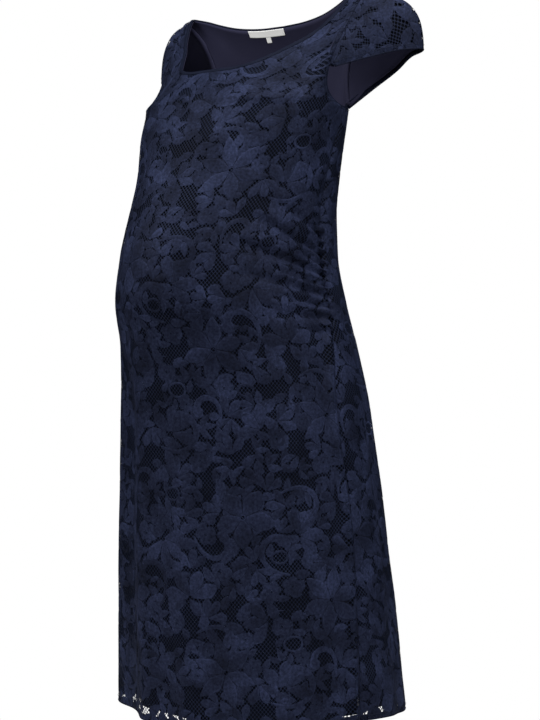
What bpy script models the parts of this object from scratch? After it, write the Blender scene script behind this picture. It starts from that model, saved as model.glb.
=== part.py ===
"""Lace maternity dress with cap sleeves, filled out as worn and hollow inside.

The wearer faces -Y and the wearer's left is +X. The origin lies midway between the
shoulder seams, at the height where the dress hangs on the shoulders. The body of the dress
is one smooth form: level rings up to the underarm, and above them a yoke whose columns
lean in to the shoulder ridge. A place on it is an angle round the dress (0 centre front,
90 wearer's left side, 180 centre back) and a height. Every panel is a patch of that form
between its seams, and the lining is made from the lace panel's own points, moved in.
"""
import bpy
import numpy as np

# Walls and gaps, metres
LACE_WALL = 0.0010
LINING_WALL = 0.0010
LINING_GAP = 0.0010         # between the lace's inner face and the lining
SEAM_GAP = 0.0006           # between two lace panels' outer edges along a seam
RIDGE_INSET = 0.0009        # each panel stops this far short of the shoulder ridge
ARMHOLE_GAP = 0.0016        # from the armhole's edge to the sleeve
LINING_SIDE_INSET = 0.0030  # the lining stops this far inside the lace's side edges
LINING_TOP_INSET = 0.0055   # and this far below its neck and shoulder edges

# Heights, metres, from the shoulder ridge down
HEM_HEIGHT = -0.970
HEM_DIP = 0.007             # the hem hangs lower towards the wearer's left back
HEM_DIP_ANGLE = 130.0
HEM_DROP = 0.014            # and lower still in front of the wearer's left leg
HEM_DROP_ANGLE = 15.0
HEM_DROP_HALF = 45.0        # degrees
LINING_HEM_RISE = 0.017     # the lining ends this far above the lace hem
UNDERARM_HEIGHT = -0.156
YOKE_HEIGHT = -0.150        # rings end and the yoke begins
PATCH_HEIGHT = -0.265       # rows are level up to here, and bend to the neckline above

# Shoulder ridge, metres
RIDGE_HALF_WIDTH = 0.178
RIDGE_FLAT_HALF = 0.125     # the ridge is level this far out, and then it droops
RIDGE_SLOPE = 0.10
RIDGE_DROOP = 1.8           # metres of drop for each square metre of distance further out

# Rings of the body, one row for each height: height, half width, depth in front of the
# ring's middle, depth behind it, y of the middle, roundness in front, roundness behind, and
# the angle of the side seam
RINGS = (
    (-0.970, 0.205, 0.208, 0.125, 0.000, 2.25, 2.30, 77.5),
    (-0.850, 0.198, 0.208, 0.115, -0.006, 2.25, 2.30, 79.5),
    (-0.700, 0.187, 0.204, 0.106, -0.016, 2.25, 2.25, 81.5),
    (-0.600, 0.178, 0.199, 0.107, -0.026, 2.20, 2.20, 80.5),
    (-0.540, 0.171, 0.197, 0.112, -0.034, 2.15, 2.20, 82.0),
    (-0.480, 0.161, 0.199, 0.106, -0.042, 2.10, 2.20, 85.5),
    (-0.420, 0.151, 0.209, 0.096, -0.050, 2.05, 2.20, 88.0),
    (-0.360, 0.143, 0.201, 0.089, -0.055, 2.00, 2.20, 87.5),
    (-0.300, 0.141, 0.177, 0.090, -0.056, 2.00, 2.20, 87.5),
    (-0.240, 0.144, 0.150, 0.097, -0.055, 2.05, 2.20, 93.0),
    (-0.200, 0.147, 0.139, 0.102, -0.053, 2.10, 2.20, 99.0),
    (-0.156, 0.151, 0.121, 0.106, -0.049, 2.15, 2.20, 112.0),
)

# How far the front of the yoke leans in over its first rise: angle, lean
FRONT_LEAN = ((0, 0.68), (25, 0.88), (45, 1.30), (60, 1.02), (75, 0.38), (90, 0.10))
BACK_LEAN = -0.02
YOKE_RISE = 0.060           # height of that first rise
RIDGE_REACH_FRONT = 0.016   # how far the yoke rounds over before the ridge
RIDGE_REACH_BACK = 0.028
RIDGE_ROUND = 0.004

# Edges on the form, one row for each turning point: angle, height
FRONT_ARMHOLE = ((112, -0.1560), (101, -0.1555), (93, -0.1510), (87, -0.1425), (82.5, -0.132),
                 (80, -0.120), (78, -0.106), (74.5, -0.090), (70.5, -0.065), (68, -0.035),
                 (67, 0.0))
BACK_ARMHOLE = ((112, -0.1560), (121, -0.153), (128.5, -0.140), (132, -0.118), (131, -0.092),
                (127, -0.063), (120, -0.033), (113.4, 0.0))
FRONT_NECK = ((54, 0.0), (53.7, -0.020), (52.5, -0.044), (48, -0.068), (42, -0.083),
              (33, -0.097), (24, -0.1085), (13, -0.1145), (0, -0.1155))
BACK_NECK = ((126.5, 0.0), (130, -0.012), (137, -0.025), (146, -0.0365), (157, -0.0455),
             (168, -0.050), (180, -0.0515))
SLEEVE_NOTCH = -0.115       # height on the front armhole where the cap sleeve starts
SLEEVE_END = -0.150         # height on the back armhole where it ends

# Edge of the cap sleeve, wearer's left, one row for each turning point: x, y, z
SLEEVE_HEM = ((0.156, -0.053, -0.1080), (0.188, -0.021, -0.0965), (0.218, 0.012, -0.0870),
              (0.234, 0.040, -0.0850), (0.221, 0.054, -0.0860), (0.203, 0.057, -0.0895),
              (0.178, 0.053, -0.1045), (0.150, 0.038, -0.1270), (0.132, 0.016, -0.1540))
SLEEVE_FLAT = 0.80          # share of the sleeve's reach that stays level off the shoulder
SLEEVE_DROP = 0.66          # share of its drop that hangs straight above its edge
SLEEVE_LINING_RISE = 0.007  # the lining stops this far short of the sleeve's edge

SHOULDER_TILT = 0.040       # the dress sits higher on the wearer's left shoulder
TILT_HEIGHT = -0.200        # the tilt fades out down to here

# Soft standing folds of the skirt, one row for each: angle, half width in degrees, how far
# it stands out, and the heights where it starts and where it is full
FOLDS = (
    (-12, 10, 0.0060, -0.400, -0.560),
    (-31, 12, -0.0060, -0.430, -0.600),
    (71, 6, 0.0045, -0.400, -0.520),
    (-70, 6, 0.0040, -0.420, -0.560),
    (104, 9, -0.0050, -0.460, -0.640),
    (-102, 9, -0.0045, -0.440, -0.620),
    (133, 11, 0.0060, -0.480, -0.700),
    (-128, 12, 0.0055, -0.460, -0.680),
    (158, 10, -0.0050, -0.500, -0.740),
    (-163, 12, -0.0050, -0.480, -0.720),
)

# Cells of the panels
FRONT_CELLS = 22            # across, of which each shoulder takes SHOULDER_CELLS
BACK_CELLS = 18
SHOULDER_CELLS = 2
SKIRT_ROWS = 12
SIDE_PULL = 3.0             # how closely only the outer columns keep step with the armhole
SEAM_ROWS = 3               # of the patch, beside the top of the side seam
ARMHOLE_ROWS = 9            # of the patch, beside the armhole
FRONT_OPEN_ROWS = 4         # of those, below the sleeve on the front
BACK_OPEN_ROWS = 1          # and on the back
EDGE_SAMPLES = 200          # for finding a height on a curve
SLEEVE_ROWS = 6

# Labels inside the back neck, metres
LABEL_WIDTH = 0.062
LABEL_HEIGHT = 0.010
LABEL_SHIFT = 0.031         # the labels sit this far to the wearer's right of centre
TAB_WIDTH = 0.008
TAB_HEIGHT = 0.008
LABEL_RISE = 0.004          # its top stands this far above the lining's, over the lace
LABEL_WALL = 0.0008
LABEL_GAP = 0.0004          # between the lining and the label

# Colour, roughness
LACE_LOOK = ((0.012, 0.016, 0.034), 0.75)
LINING_LOOK = ((0.010, 0.012, 0.024), 0.60)
LABEL_LOOK = ((0.85, 0.85, 0.84), 0.80)


def smooth_table(rows, at):
    """Values of a table at given places of its first column, along a monotone cubic."""
    table = np.asarray(rows, float)
    table = table[np.argsort(table[:, 0])]
    places, values = table[:, 0], table[:, 1:]
    step = np.diff(places)
    slope = np.diff(values, axis=0) / step[:, None]
    tangent = np.empty_like(values)
    before = 2 * step[1:, None] + step[:-1, None]
    after = step[1:, None] + 2 * step[:-1, None]
    same_way = slope[:-1] * slope[1:] > 0
    below = np.where(same_way, slope[:-1], 1.0)
    above = np.where(same_way, slope[1:], 1.0)
    mean = (before + after) / (before / below + after / above)
    tangent[1:-1] = np.where(same_way, mean, 0.0)
    tangent[0], tangent[-1] = slope[0], slope[-1]
    at = np.clip(np.asarray(at, float), places[0], places[-1])
    cell = np.clip(np.searchsorted(places, at) - 1, 0, len(step) - 1)
    width = step[cell][..., None]
    t = (at - places[cell])[..., None] / width
    return (
        (2 * t**3 - 3 * t**2 + 1) * values[cell]
        + (t**3 - 2 * t**2 + t) * width * tangent[cell]
        + (3 * t**2 - 2 * t**3) * values[cell + 1]
        + (t**3 - t**2) * width * tangent[cell + 1])


def curve_through(rows, share):
    """Points at given shares of the length of a smooth curve through the rows."""
    points = np.asarray(rows, float)
    scale = np.ptp(points, axis=0) + 1e-9
    run = np.linalg.norm(np.diff(points / scale, axis=0), axis=1)
    along = np.concatenate(([0.0], np.cumsum(run)))
    tangent = np.gradient(points, along, axis=0)
    at = np.asarray(share, float) * along[-1]
    cell = np.clip(np.searchsorted(along, at) - 1, 0, len(run) - 1)
    width = run[cell][:, None]
    t = (at - along[cell])[:, None] / width
    return (
        (2 * t**3 - 3 * t**2 + 1) * points[cell]
        + (t**3 - 2 * t**2 + t) * width * tangent[cell]
        + (3 * t**2 - 2 * t**3) * points[cell + 1]
        + (t**3 - t**2) * width * tangent[cell + 1])


def soft_step(t):
    """0 below 0, 1 above 1, and a smooth S between them."""
    t = np.clip(t, 0.0, 1.0)
    return t * t * (3 - 2 * t)


def bezier(t, a, b, c, d):
    return (1 - t)**3 * a + 3 * t * (1 - t)**2 * b + 3 * t**2 * (1 - t) * c + t**3 * d


def ridge_height(x):
    """Height of the shoulder ridge: level at the neck, then drooping as a parabola."""
    out = np.maximum(np.abs(x) - RIDGE_FLAT_HALF, 0.0)
    return -RIDGE_SLOPE * out - RIDGE_DROOP * out**2


def fold_rise(angle, height):
    """How far the skirt's folds stand out: a bell across each, growing down from its top."""
    rise = np.zeros(np.broadcast(angle, height).shape)
    for fold_angle, half_width, amount, top, full in FOLDS:
        off = (angle - fold_angle + 180.0) % 360.0 - 180.0
        grown = soft_step((top - height) / (top - full))
        rise = rise + amount * np.exp(-(off / half_width)**2) * grown
    return rise


def dress_form(angle, height):
    """Point of the form at an angle and a height.

    A ring is a superellipse whose front and back depths differ. The yoke draws each of the
    top ring's points in to the shoulder ridge along a cubic curve.
    """
    angle, height = np.broadcast_arrays(np.asarray(angle, float), np.asarray(height, float))
    half, front, back, middle, front_power, back_power, _ = np.moveaxis(
        smooth_table(RINGS, np.minimum(height, YOKE_HEIGHT)), -1, 0)
    turn = np.radians(angle)
    across, ahead = np.sin(turn), np.cos(turn)
    in_front = ahead >= 0
    power = np.where(in_front, front_power, back_power)
    depth = np.where(in_front, front, back)
    x = half * np.sign(across) * np.abs(across)**(2 / power)
    y = middle - np.sign(ahead) * depth * np.abs(ahead)**(2 / power)

    length = np.hypot(across / half, ahead / depth) + 1e-9
    rise = fold_rise(angle, height)
    x = x + rise * (across / half) / length
    y = y - rise * (ahead / depth) / length

    t = np.clip((height - YOKE_HEIGHT) / -YOKE_HEIGHT, 0.0, 1.0)
    ridge_x = x * RIDGE_HALF_WIDTH / half
    ridge_z = ridge_height(ridge_x)
    share = np.abs(ahead)
    lean_rows = np.asarray(FRONT_LEAN, float)
    from_middle = np.degrees(np.arctan2(np.abs(across), share))
    front_lean = np.interp(from_middle, lean_rows[:, 0], lean_rows[:, 1])
    lean = np.where(in_front, front_lean, BACK_LEAN * share)
    reach = np.where(in_front, -RIDGE_REACH_FRONT, RIDGE_REACH_BACK) * np.sqrt(share)
    yoke_x = x + (ridge_x - x) * soft_step(t)
    yoke_y = bezier(t, y, y + lean * YOKE_RISE, reach, 0.0 * y)
    yoke_z = bezier(t, YOKE_HEIGHT, YOKE_HEIGHT + YOKE_RISE, ridge_z - RIDGE_ROUND, ridge_z)
    in_yoke = t > 0
    return np.stack([np.where(in_yoke, yoke_x, x), np.where(in_yoke, yoke_y, y),
                     np.where(in_yoke, yoke_z, height)], axis=-1)


def tilted(points):
    """The yoke raised on one side and lowered on the other, fading out below it."""
    share = soft_step(1 - points[..., 2] / TILT_HEIGHT)
    return points + np.stack([0 * share, 0 * share, SHOULDER_TILT * share * points[..., 0]],
                             axis=-1)


def hem_height(angle):
    """The hem is level but for a soft dip round one angle and a bell round another."""
    off = (angle - HEM_DROP_ANGLE + 180.0) % 360.0 - 180.0
    dip = HEM_DIP * np.maximum(np.cos(np.radians(angle - HEM_DIP_ANGLE)), 0.0)
    return HEM_HEIGHT - dip - HEM_DROP * np.exp(-(off / HEM_DROP_HALF)**2)


def yoke_places(side, top, share):
    """Rows of angle and height that turn from a level row into the panel's top edge.

    A column climbs from the level row to its place on the top edge: evenly in the middle of
    the panel, and in step with the armhole at its sides. Its angle is a share of the side
    edge's angle, which changes from an even share to the top edge's own.
    """
    start, end = side[0], side[-1]
    even = np.linspace(0, 1, len(side))[:, None]
    beside = ((side[:, 1] - start[1]) / (end[1] - start[1]))[:, None]
    lean = np.abs(share)
    gentle = start[0] + (end[0] - start[0]) * even
    climb = even + (beside - even) * lean**SIDE_PULL
    height = start[1] + climb * (top[:, 1] - start[1])
    part = share + (top[:, 0] / end[0] - share) * climb
    return np.stack([(gentle + (side[:, :1] - gentle) * lean) * part, height], axis=-1)


def armhole_edge(rows, stop, lower_rows):
    """Places along an armhole from underarm to shoulder, with one exactly at a height.

    lower_rows of its ARMHOLE_ROWS lie below that height, where the sleeve leaves the edge.
    """
    share = np.linspace(0, 1, EDGE_SAMPLES)
    stop_share = np.interp(stop, curve_through(rows, share)[:, 1], share)
    lower = np.linspace(0, stop_share, lower_rows + 1)
    upper = np.linspace(stop_share, 1, ARMHOLE_ROWS - lower_rows + 1)
    return curve_through(rows, np.concatenate((lower, upper[1:])))


def body_grid(neck, edge, cells, is_front):
    """Points of a lace panel, hem row first, left to right for someone facing its outside.

    Angles are counted from the panel's own middle. Up to PATCH_HEIGHT the rows are level.
    Above it they bend to follow the armholes and the neckline.
    """
    def from_middle(places):
        return places if is_front else np.array((180.0, 0.0)) + places * (-1, 1)

    def seam_places(heights):
        gap = np.degrees(0.5 * SEAM_GAP / smooth_table(RINGS, heights)[:, 0])
        seam = np.stack([smooth_table(RINGS, heights)[:, -1], heights], axis=-1)
        return from_middle(seam) - np.stack([gap, 0 * gap], axis=-1)

    share = np.linspace(-1, 1, cells + 1)
    skirt_side = seam_places(np.linspace(HEM_HEIGHT, PATCH_HEIGHT, SKIRT_ROWS + 1))
    skirt = np.stack(np.broadcast_arrays(skirt_side[:, :1] * share, skirt_side[:, 1:]), axis=-1)

    seam = seam_places(np.linspace(PATCH_HEIGHT, UNDERARM_HEIGHT, SEAM_ROWS + 1)[:-1])
    edge = from_middle(edge)
    edge[0] = seam_places(np.array([UNDERARM_HEIGHT]))[0]
    neck_cells = cells - 2 * SHOULDER_CELLS
    neck_half = curve_through(from_middle(np.array(neck)), np.linspace(0, 1, neck_cells // 2 + 1))
    shoulder = np.linspace(edge[-1], neck_half[0], SHOULDER_CELLS + 1)
    half_top = np.concatenate((shoulder[:-1], neck_half))
    top = np.concatenate((half_top[:-1] * (-1, 1), half_top[::-1]))
    yoke = yoke_places(np.concatenate((seam, edge)), top, share)
    places = np.concatenate((skirt, yoke[1:]))

    angle = places[..., 0] if is_front else 180.0 + places[..., 0]
    height = places[..., 1]
    hem_share = np.clip((PATCH_HEIGHT - height) / (PATCH_HEIGHT - HEM_HEIGHT), 0, 1)
    points = dress_form(angle, height + hem_share * (hem_height(angle) - HEM_HEIGHT))
    short_of_ridge = -RIDGE_INSET if is_front else RIDGE_INSET
    at_ridge = np.abs(points[..., 1]) < RIDGE_INSET
    points[..., 1] = np.where(at_ridge, short_of_ridge, points[..., 1])
    return points


def normals_of(grid):
    """Unit normals of a grid of points, from its central differences."""
    along = np.gradient(grid, axis=1)
    up = np.gradient(grid, axis=0)
    normal = np.cross(along, up)
    return normal / np.linalg.norm(normal, axis=-1, keepdims=True)


def inner_lines(start, end):
    """A start, the whole numbers between, and an end."""
    whole = np.arange(np.ceil(start + 0.12), np.floor(end - 0.12) + 1)
    return np.concatenate(([start], whole, [end]))


def between(grid, rows, cols):
    """Points of a grid at rows and columns that may lie between its own."""
    low_row = np.clip(np.floor(rows).astype(int), 0, grid.shape[0] - 2)
    low_col = np.clip(np.floor(cols).astype(int), 0, grid.shape[1] - 2)
    v = (rows - low_row)[:, None, None]
    u = (cols - low_col)[None, :, None]
    corner = grid[np.ix_(low_row, low_col)]
    right = grid[np.ix_(low_row, low_col + 1)]
    above = grid[np.ix_(low_row + 1, low_col)]
    far = grid[np.ix_(low_row + 1, low_col + 1)]
    return (1 - v) * ((1 - u) * corner + u * right) + v * ((1 - u) * above + u * far)


def moved_in(grid, rows, cols, depth):
    """A piece that lies inside a panel: its points, moved in along its normals."""
    return between(grid, rows, cols) - depth * between(normals_of(grid), rows, cols)


def cells_for(grid, inset, edge):
    """How many cells an inset in metres takes, at one edge of a grid: mean over that edge."""
    rows = {"bottom": (0, 1), "top": (-1, -2)}
    if edge in rows:
        first, second = rows[edge]
        size = np.linalg.norm(grid[first] - grid[second], axis=-1).mean()
    else:
        size = np.linalg.norm(grid[:, 0] - grid[:, 1], axis=-1).mean()
    return inset / size


def fabric(name, look):
    """A plain material with one colour and roughness."""
    material = bpy.data.materials.new(name)
    material.use_nodes = True
    colour, roughness = look
    shader = material.node_tree.nodes["Principled BSDF"]
    shader.inputs["Base Color"].default_value = (*colour, 1.0)
    shader.inputs["Roughness"].default_value = roughness
    shader.inputs["Metallic"].default_value = 0.0
    material.diffuse_color = (*colour, 1.0)
    return material


def shell(name, grid, wall, look, collection):
    """A wall of cloth: a grid of quads whose outer face is the grid, thickened inwards."""
    rows, cols = grid.shape[:2]
    index = np.arange(rows * cols).reshape(rows, cols)
    quads = np.stack([index[:-1, :-1], index[:-1, 1:], index[1:, 1:], index[1:, :-1]], axis=-1)
    mesh = bpy.data.meshes.new(name)
    mesh.from_pydata(tilted(grid).reshape(-1, 3).tolist(), [], quads.reshape(-1, 4).tolist())
    mesh.shade_smooth()
    piece = bpy.data.objects.new(name, mesh)
    piece.data.materials.append(fabric(name, look))
    thicken = piece.modifiers.new("wall", "SOLIDIFY")
    thicken.thickness = wall
    thicken.offset = -1.0
    collection.objects.link(piece)
    return piece


def lining_grid(lace, bottom_rise):
    """The lining of a panel: inset at every seam, and short of the lace's lower edge."""
    rows, cols = lace.shape[0] - 1, lace.shape[1] - 1
    top = cells_for(lace, LINING_TOP_INSET, "top")
    side = cells_for(lace, LINING_SIDE_INSET, "side")
    bottom = cells_for(lace, bottom_rise, "bottom")
    return moved_in(lace, inner_lines(bottom, rows - top), inner_lines(side, cols - side),
                    LACE_WALL + LINING_GAP)


def sleeve_grid(front, back):
    """The wearer's left cap sleeve, its hem row first, from the front notch round to the back.

    Its columns start at the panels' own armhole points. Each runs level off the shoulder,
    then rounds over and hangs to the sleeve's hem, along a cubic curve.
    """
    first_front = front.shape[0] - 1 - (ARMHOLE_ROWS - FRONT_OPEN_ROWS)
    first_back = back.shape[0] - 1 - (ARMHOLE_ROWS - BACK_OPEN_ROWS)
    seam = np.concatenate((front[first_front:-1, -1], back[first_back:, 0][::-1]))
    hem = curve_through(SLEEVE_HEM, np.linspace(0, 1, len(seam)))
    reach = hem - seam
    seam = seam + ARMHOLE_GAP * reach / np.linalg.norm(reach, axis=1, keepdims=True)
    reach = hem - seam
    level = reach * (1, 1, 0)
    drop = reach * (0, 0, 1)
    t = np.linspace(1, 0, SLEEVE_ROWS + 1)[:, None, None]
    return bezier(t, seam, seam + SLEEVE_FLAT * level, hem - SLEEVE_DROP * drop, hem)


def mirrored(grid):
    """The same piece for the wearer's other side, its columns turned to keep it facing out."""
    return (grid * (-1, 1, 1))[:, ::-1]


def label_grid(lining, width, height, top_drop, depth):
    """A strip inside the back neck, its ends found by length along the lining's top edge."""
    rows, cols = lining.shape[0] - 1, lining.shape[1] - 1
    steps = np.linalg.norm(np.diff(lining[-1], axis=0), axis=1)
    along = np.concatenate(([0.0], np.cumsum(steps)))
    middle = 0.5 * along[-1] + LABEL_SHIFT
    ends = (middle - 0.5 * width, middle + 0.5 * width)
    left, right = np.interp(ends, along, np.arange(cols + 1))
    row_cell = np.linalg.norm(lining[-1, cols // 2] - lining[-2, cols // 2])
    top = rows - top_drop / row_cell
    bottom = top - height / row_cell
    return moved_in(lining, inner_lines(bottom, top), inner_lines(left, right), depth)


def build():
    for old in list(bpy.data.objects):
        bpy.data.objects.remove(old, do_unlink=True)
    collection = bpy.data.collections.new("maternity_dress")
    bpy.context.scene.collection.children.link(collection)

    front_edge = armhole_edge(FRONT_ARMHOLE, SLEEVE_NOTCH, FRONT_OPEN_ROWS)
    back_edge = armhole_edge(BACK_ARMHOLE, SLEEVE_END, BACK_OPEN_ROWS)
    front = body_grid(FRONT_NECK, front_edge, FRONT_CELLS, True)
    back = body_grid(BACK_NECK, back_edge, BACK_CELLS, False)
    sleeve = sleeve_grid(front, back)
    back_lining = lining_grid(back, LINING_HEM_RISE)
    sleeve_lining = lining_grid(sleeve, SLEEVE_LINING_RISE)

    shell("front_lace", front, LACE_WALL, LACE_LOOK, collection)
    shell("back_lace", back, LACE_WALL, LACE_LOOK, collection)
    shell("front_lining", lining_grid(front, LINING_HEM_RISE), LINING_WALL, LINING_LOOK,
          collection)
    shell("back_lining", back_lining, LINING_WALL, LINING_LOOK, collection)
    for side, turned in (("left", np.asarray), ("right", mirrored)):
        shell(f"sleeve_{side}_lace", turned(sleeve), LACE_WALL, LACE_LOOK, collection)
        shell(f"sleeve_{side}_lining", turned(sleeve_lining), LINING_WALL, LINING_LOOK,
              collection)

    depth = LINING_WALL + LABEL_GAP
    shell("neck_label", label_grid(back_lining, LABEL_WIDTH, LABEL_HEIGHT, -LABEL_RISE, depth),
          LABEL_WALL, LABEL_LOOK, collection)
    tab_drop = LABEL_HEIGHT - LABEL_RISE + SEAM_GAP
    shell("size_tab", label_grid(back_lining, TAB_WIDTH, TAB_HEIGHT, tab_drop, depth),
          LABEL_WALL, LABEL_LOOK, collection)


if __name__ == "__main__":
    build()
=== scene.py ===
"""Looks of a lace maternity dress: net, motifs, jersey lining, trims, label and studio.

The dress is filled out as worn and hollow. The wearer faces -Y and the wearer's left is +X.
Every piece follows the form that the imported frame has: a place on it is an angle round the
dress (0 centre front, 90 wearer's left side, 180 centre back) and a height. Lengths are in
metres. The lace's pattern is laid out flat, in the cloth's own measures, and then carried
onto the form.
"""
import functools

import bpy
import numpy as np
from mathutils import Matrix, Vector


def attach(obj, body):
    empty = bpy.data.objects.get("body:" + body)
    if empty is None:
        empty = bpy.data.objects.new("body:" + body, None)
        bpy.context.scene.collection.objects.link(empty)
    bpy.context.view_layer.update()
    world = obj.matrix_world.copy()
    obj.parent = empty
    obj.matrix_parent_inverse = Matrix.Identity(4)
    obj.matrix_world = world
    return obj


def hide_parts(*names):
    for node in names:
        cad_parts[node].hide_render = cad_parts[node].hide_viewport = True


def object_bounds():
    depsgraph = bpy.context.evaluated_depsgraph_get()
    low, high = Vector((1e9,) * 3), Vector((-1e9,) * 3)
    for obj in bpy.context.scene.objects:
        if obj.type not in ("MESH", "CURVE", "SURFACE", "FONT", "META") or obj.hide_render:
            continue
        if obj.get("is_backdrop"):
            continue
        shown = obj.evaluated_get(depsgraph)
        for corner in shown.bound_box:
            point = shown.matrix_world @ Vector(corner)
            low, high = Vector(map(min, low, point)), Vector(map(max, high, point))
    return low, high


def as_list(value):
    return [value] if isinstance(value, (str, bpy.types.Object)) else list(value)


bl_info = {
    "name": "Lace maternity dress",
    "version": (1, 0, 0),
    "blender": (4, 5, 0),
    "location": "View3D > Sidebar > Dress",
    "description": "Lace, lining, trims and studio for a maternity dress",
    "category": "Add Mesh",
}

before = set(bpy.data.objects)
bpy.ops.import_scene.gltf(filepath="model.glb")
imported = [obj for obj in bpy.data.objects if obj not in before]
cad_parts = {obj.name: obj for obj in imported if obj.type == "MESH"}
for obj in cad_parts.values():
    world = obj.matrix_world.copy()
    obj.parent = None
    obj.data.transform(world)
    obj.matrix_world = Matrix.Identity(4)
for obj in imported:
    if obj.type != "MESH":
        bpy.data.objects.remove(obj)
CAD_BOX = [tuple(corner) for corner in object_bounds()]
BODY = "root"

# --- The form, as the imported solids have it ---

# Heights, from the shoulder ridge down
HEM_HEIGHT = -0.970
HEM_DIP = 0.007  # the hem hangs lower towards the wearer's left back
HEM_DIP_ANGLE = 130.0
HEM_DROP = 0.014  # and lower still in front of the wearer's left leg
HEM_DROP_ANGLE = 15.0
HEM_DROP_HALF = 45.0  # degrees
UNDERARM_HEIGHT = -0.156
YOKE_HEIGHT = -0.150  # rings end and the yoke begins
PATCH_HEIGHT = -0.265  # rows are level up to here, and bend to the neckline above

# Shoulder ridge
RIDGE_HALF_WIDTH = 0.178
RIDGE_FLAT_HALF = 0.125  # the ridge is level this far out, and then it droops
RIDGE_SLOPE = 0.10
RIDGE_DROOP = 1.8  # metres of drop for each square metre of distance further out

# Rings of the body, one row for each height: height, half width, depth in front of the
# ring's middle, depth behind it, y of the middle, roundness in front, roundness behind, and
# the angle of the side seam
RINGS = (
    (-0.970, 0.205, 0.208, 0.125, 0.000, 2.25, 2.30, 77.5),
    (-0.850, 0.198, 0.208, 0.115, -0.006, 2.25, 2.30, 79.5),
    (-0.700, 0.187, 0.204, 0.106, -0.016, 2.25, 2.25, 81.5),
    (-0.600, 0.178, 0.199, 0.107, -0.026, 2.20, 2.20, 80.5),
    (-0.540, 0.171, 0.197, 0.112, -0.034, 2.15, 2.20, 82.0),
    (-0.480, 0.161, 0.199, 0.106, -0.042, 2.10, 2.20, 85.5),
    (-0.420, 0.151, 0.209, 0.096, -0.050, 2.05, 2.20, 88.0),
    (-0.360, 0.143, 0.201, 0.089, -0.055, 2.00, 2.20, 87.5),
    (-0.300, 0.141, 0.177, 0.090, -0.056, 2.00, 2.20, 87.5),
    (-0.240, 0.144, 0.150, 0.097, -0.055, 2.05, 2.20, 93.0),
    (-0.200, 0.147, 0.139, 0.102, -0.053, 2.10, 2.20, 99.0),
    (-0.156, 0.151, 0.121, 0.106, -0.049, 2.15, 2.20, 112.0),
)

# How far the front of the yoke leans in over its first rise: angle, lean
FRONT_LEAN = ((0, 0.68), (25, 0.88), (45, 1.30), (60, 1.02), (75, 0.38), (90, 0.10))
BACK_LEAN = -0.02
YOKE_RISE = 0.060
RIDGE_REACH_FRONT = 0.016  # how far the yoke rounds over before the ridge
RIDGE_REACH_BACK = 0.028
RIDGE_ROUND = 0.004

# Edges on the form, one row for each turning point: angle, height
FRONT_ARMHOLE = ((112, -0.1560), (101, -0.1555), (93, -0.1510), (87, -0.1425), (82.5, -0.132),
                 (80, -0.120), (78, -0.106), (74.5, -0.090), (70.5, -0.065), (68, -0.035),
                 (67, 0.0))
BACK_ARMHOLE = ((112, -0.1560), (121, -0.153), (128.5, -0.140), (132, -0.118), (131, -0.092),
                (127, -0.063), (120, -0.033), (113.4, 0.0))
FRONT_NECK = ((54, 0.0), (53.7, -0.020), (52.5, -0.044), (48, -0.068), (42, -0.083),
              (33, -0.097), (24, -0.1085), (13, -0.1145), (0, -0.1155))
BACK_NECK = ((126.5, 0.0), (130, -0.012), (137, -0.025), (146, -0.0365), (157, -0.0455),
             (168, -0.050), (180, -0.0515))
SLEEVE_NOTCH = -0.115  # height on the front armhole where the cap sleeve starts
SLEEVE_END = -0.150  # height on the back armhole where it ends

# Edge of the cap sleeve, wearer's left, one row for each turning point: x, y, z
SLEEVE_HEM = ((0.156, -0.053, -0.1080), (0.188, -0.021, -0.0965), (0.218, 0.012, -0.0870),
              (0.234, 0.040, -0.0850), (0.221, 0.054, -0.0860), (0.203, 0.057, -0.0895),
              (0.180, 0.055, -0.1055), (0.1515, 0.039, -0.1285), (0.1275, 0.014, -0.1550))
SLEEVE_FLAT = 0.80  # share of the sleeve's reach that stays level off the shoulder
SLEEVE_DROP = 0.66  # share of its drop that hangs straight above its edge

SHOULDER_TILT = 0.040  # the dress sits higher on the wearer's left shoulder
TILT_HEIGHT = -0.200  # the tilt fades out down to here

# Soft standing folds of the skirt, one row for each: angle, half width in degrees, how far
# it stands out, and the heights where it starts and where it is full
FOLDS = (
    (-10, 7, 0.0085, -0.400, -0.540),
    (-29, 13, -0.0150, -0.410, -0.580),
    (7, 6, 0.0045, -0.560, -0.760),
    (19, 7, -0.0045, -0.540, -0.740),
    (104, 9, -0.0050, -0.460, -0.640),
    (-102, 9, -0.0045, -0.440, -0.620),
    (133, 11, 0.0060, -0.480, -0.700),
    (-128, 12, 0.0055, -0.460, -0.680),
    (158, 10, -0.0050, -0.500, -0.740),
    (-163, 12, -0.0050, -0.480, -0.720),
)
SIDE_PULL = 3.0  # how closely only the outer columns keep step with the armhole
EDGE_SAMPLES = 400  # places at which an armhole's height is looked up
FLAT_REACH = 118.0  # degrees to each side of a panel's middle
FLAT_ANGLES = 237  # columns and rows of the grid on which lengths are measured
FLAT_HEIGHTS = 195
LAID_ROWS = 9  # rows and columns of the coarse grid that lays a cap sleeve flat
LAID_COLS = 23
SEAM_DEPTH = 0.0028  # how far a panel dips at its side edges
SEAM_DIP_PARTS = 25  # the dip fades over one part in this many of half a panel
SEAM_FOLD = 0.0072  # how far the front stands over the side seams as a soft fold
SEAM_FOLD_OFF = 0.0105  # the fold's distance from the seam
SEAM_FOLD_HALF = 0.0070
SEAM_FOLD_TOP = -0.340  # below this height it grows, over the next stretch
SEAM_FOLD_GROWTH = 0.100
# The slight unevenness of hanging cloth, one row for each wave: its height, its turns round
# the dress, its turns up it in radians a metre, and where it starts
UNEVEN_WAVES = ((0.00022, 7, 31, 0.0), (0.00018, 11, -47, 1.0), (0.00012, 19, 83, 2.0))

# --- The cloth ---

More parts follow.
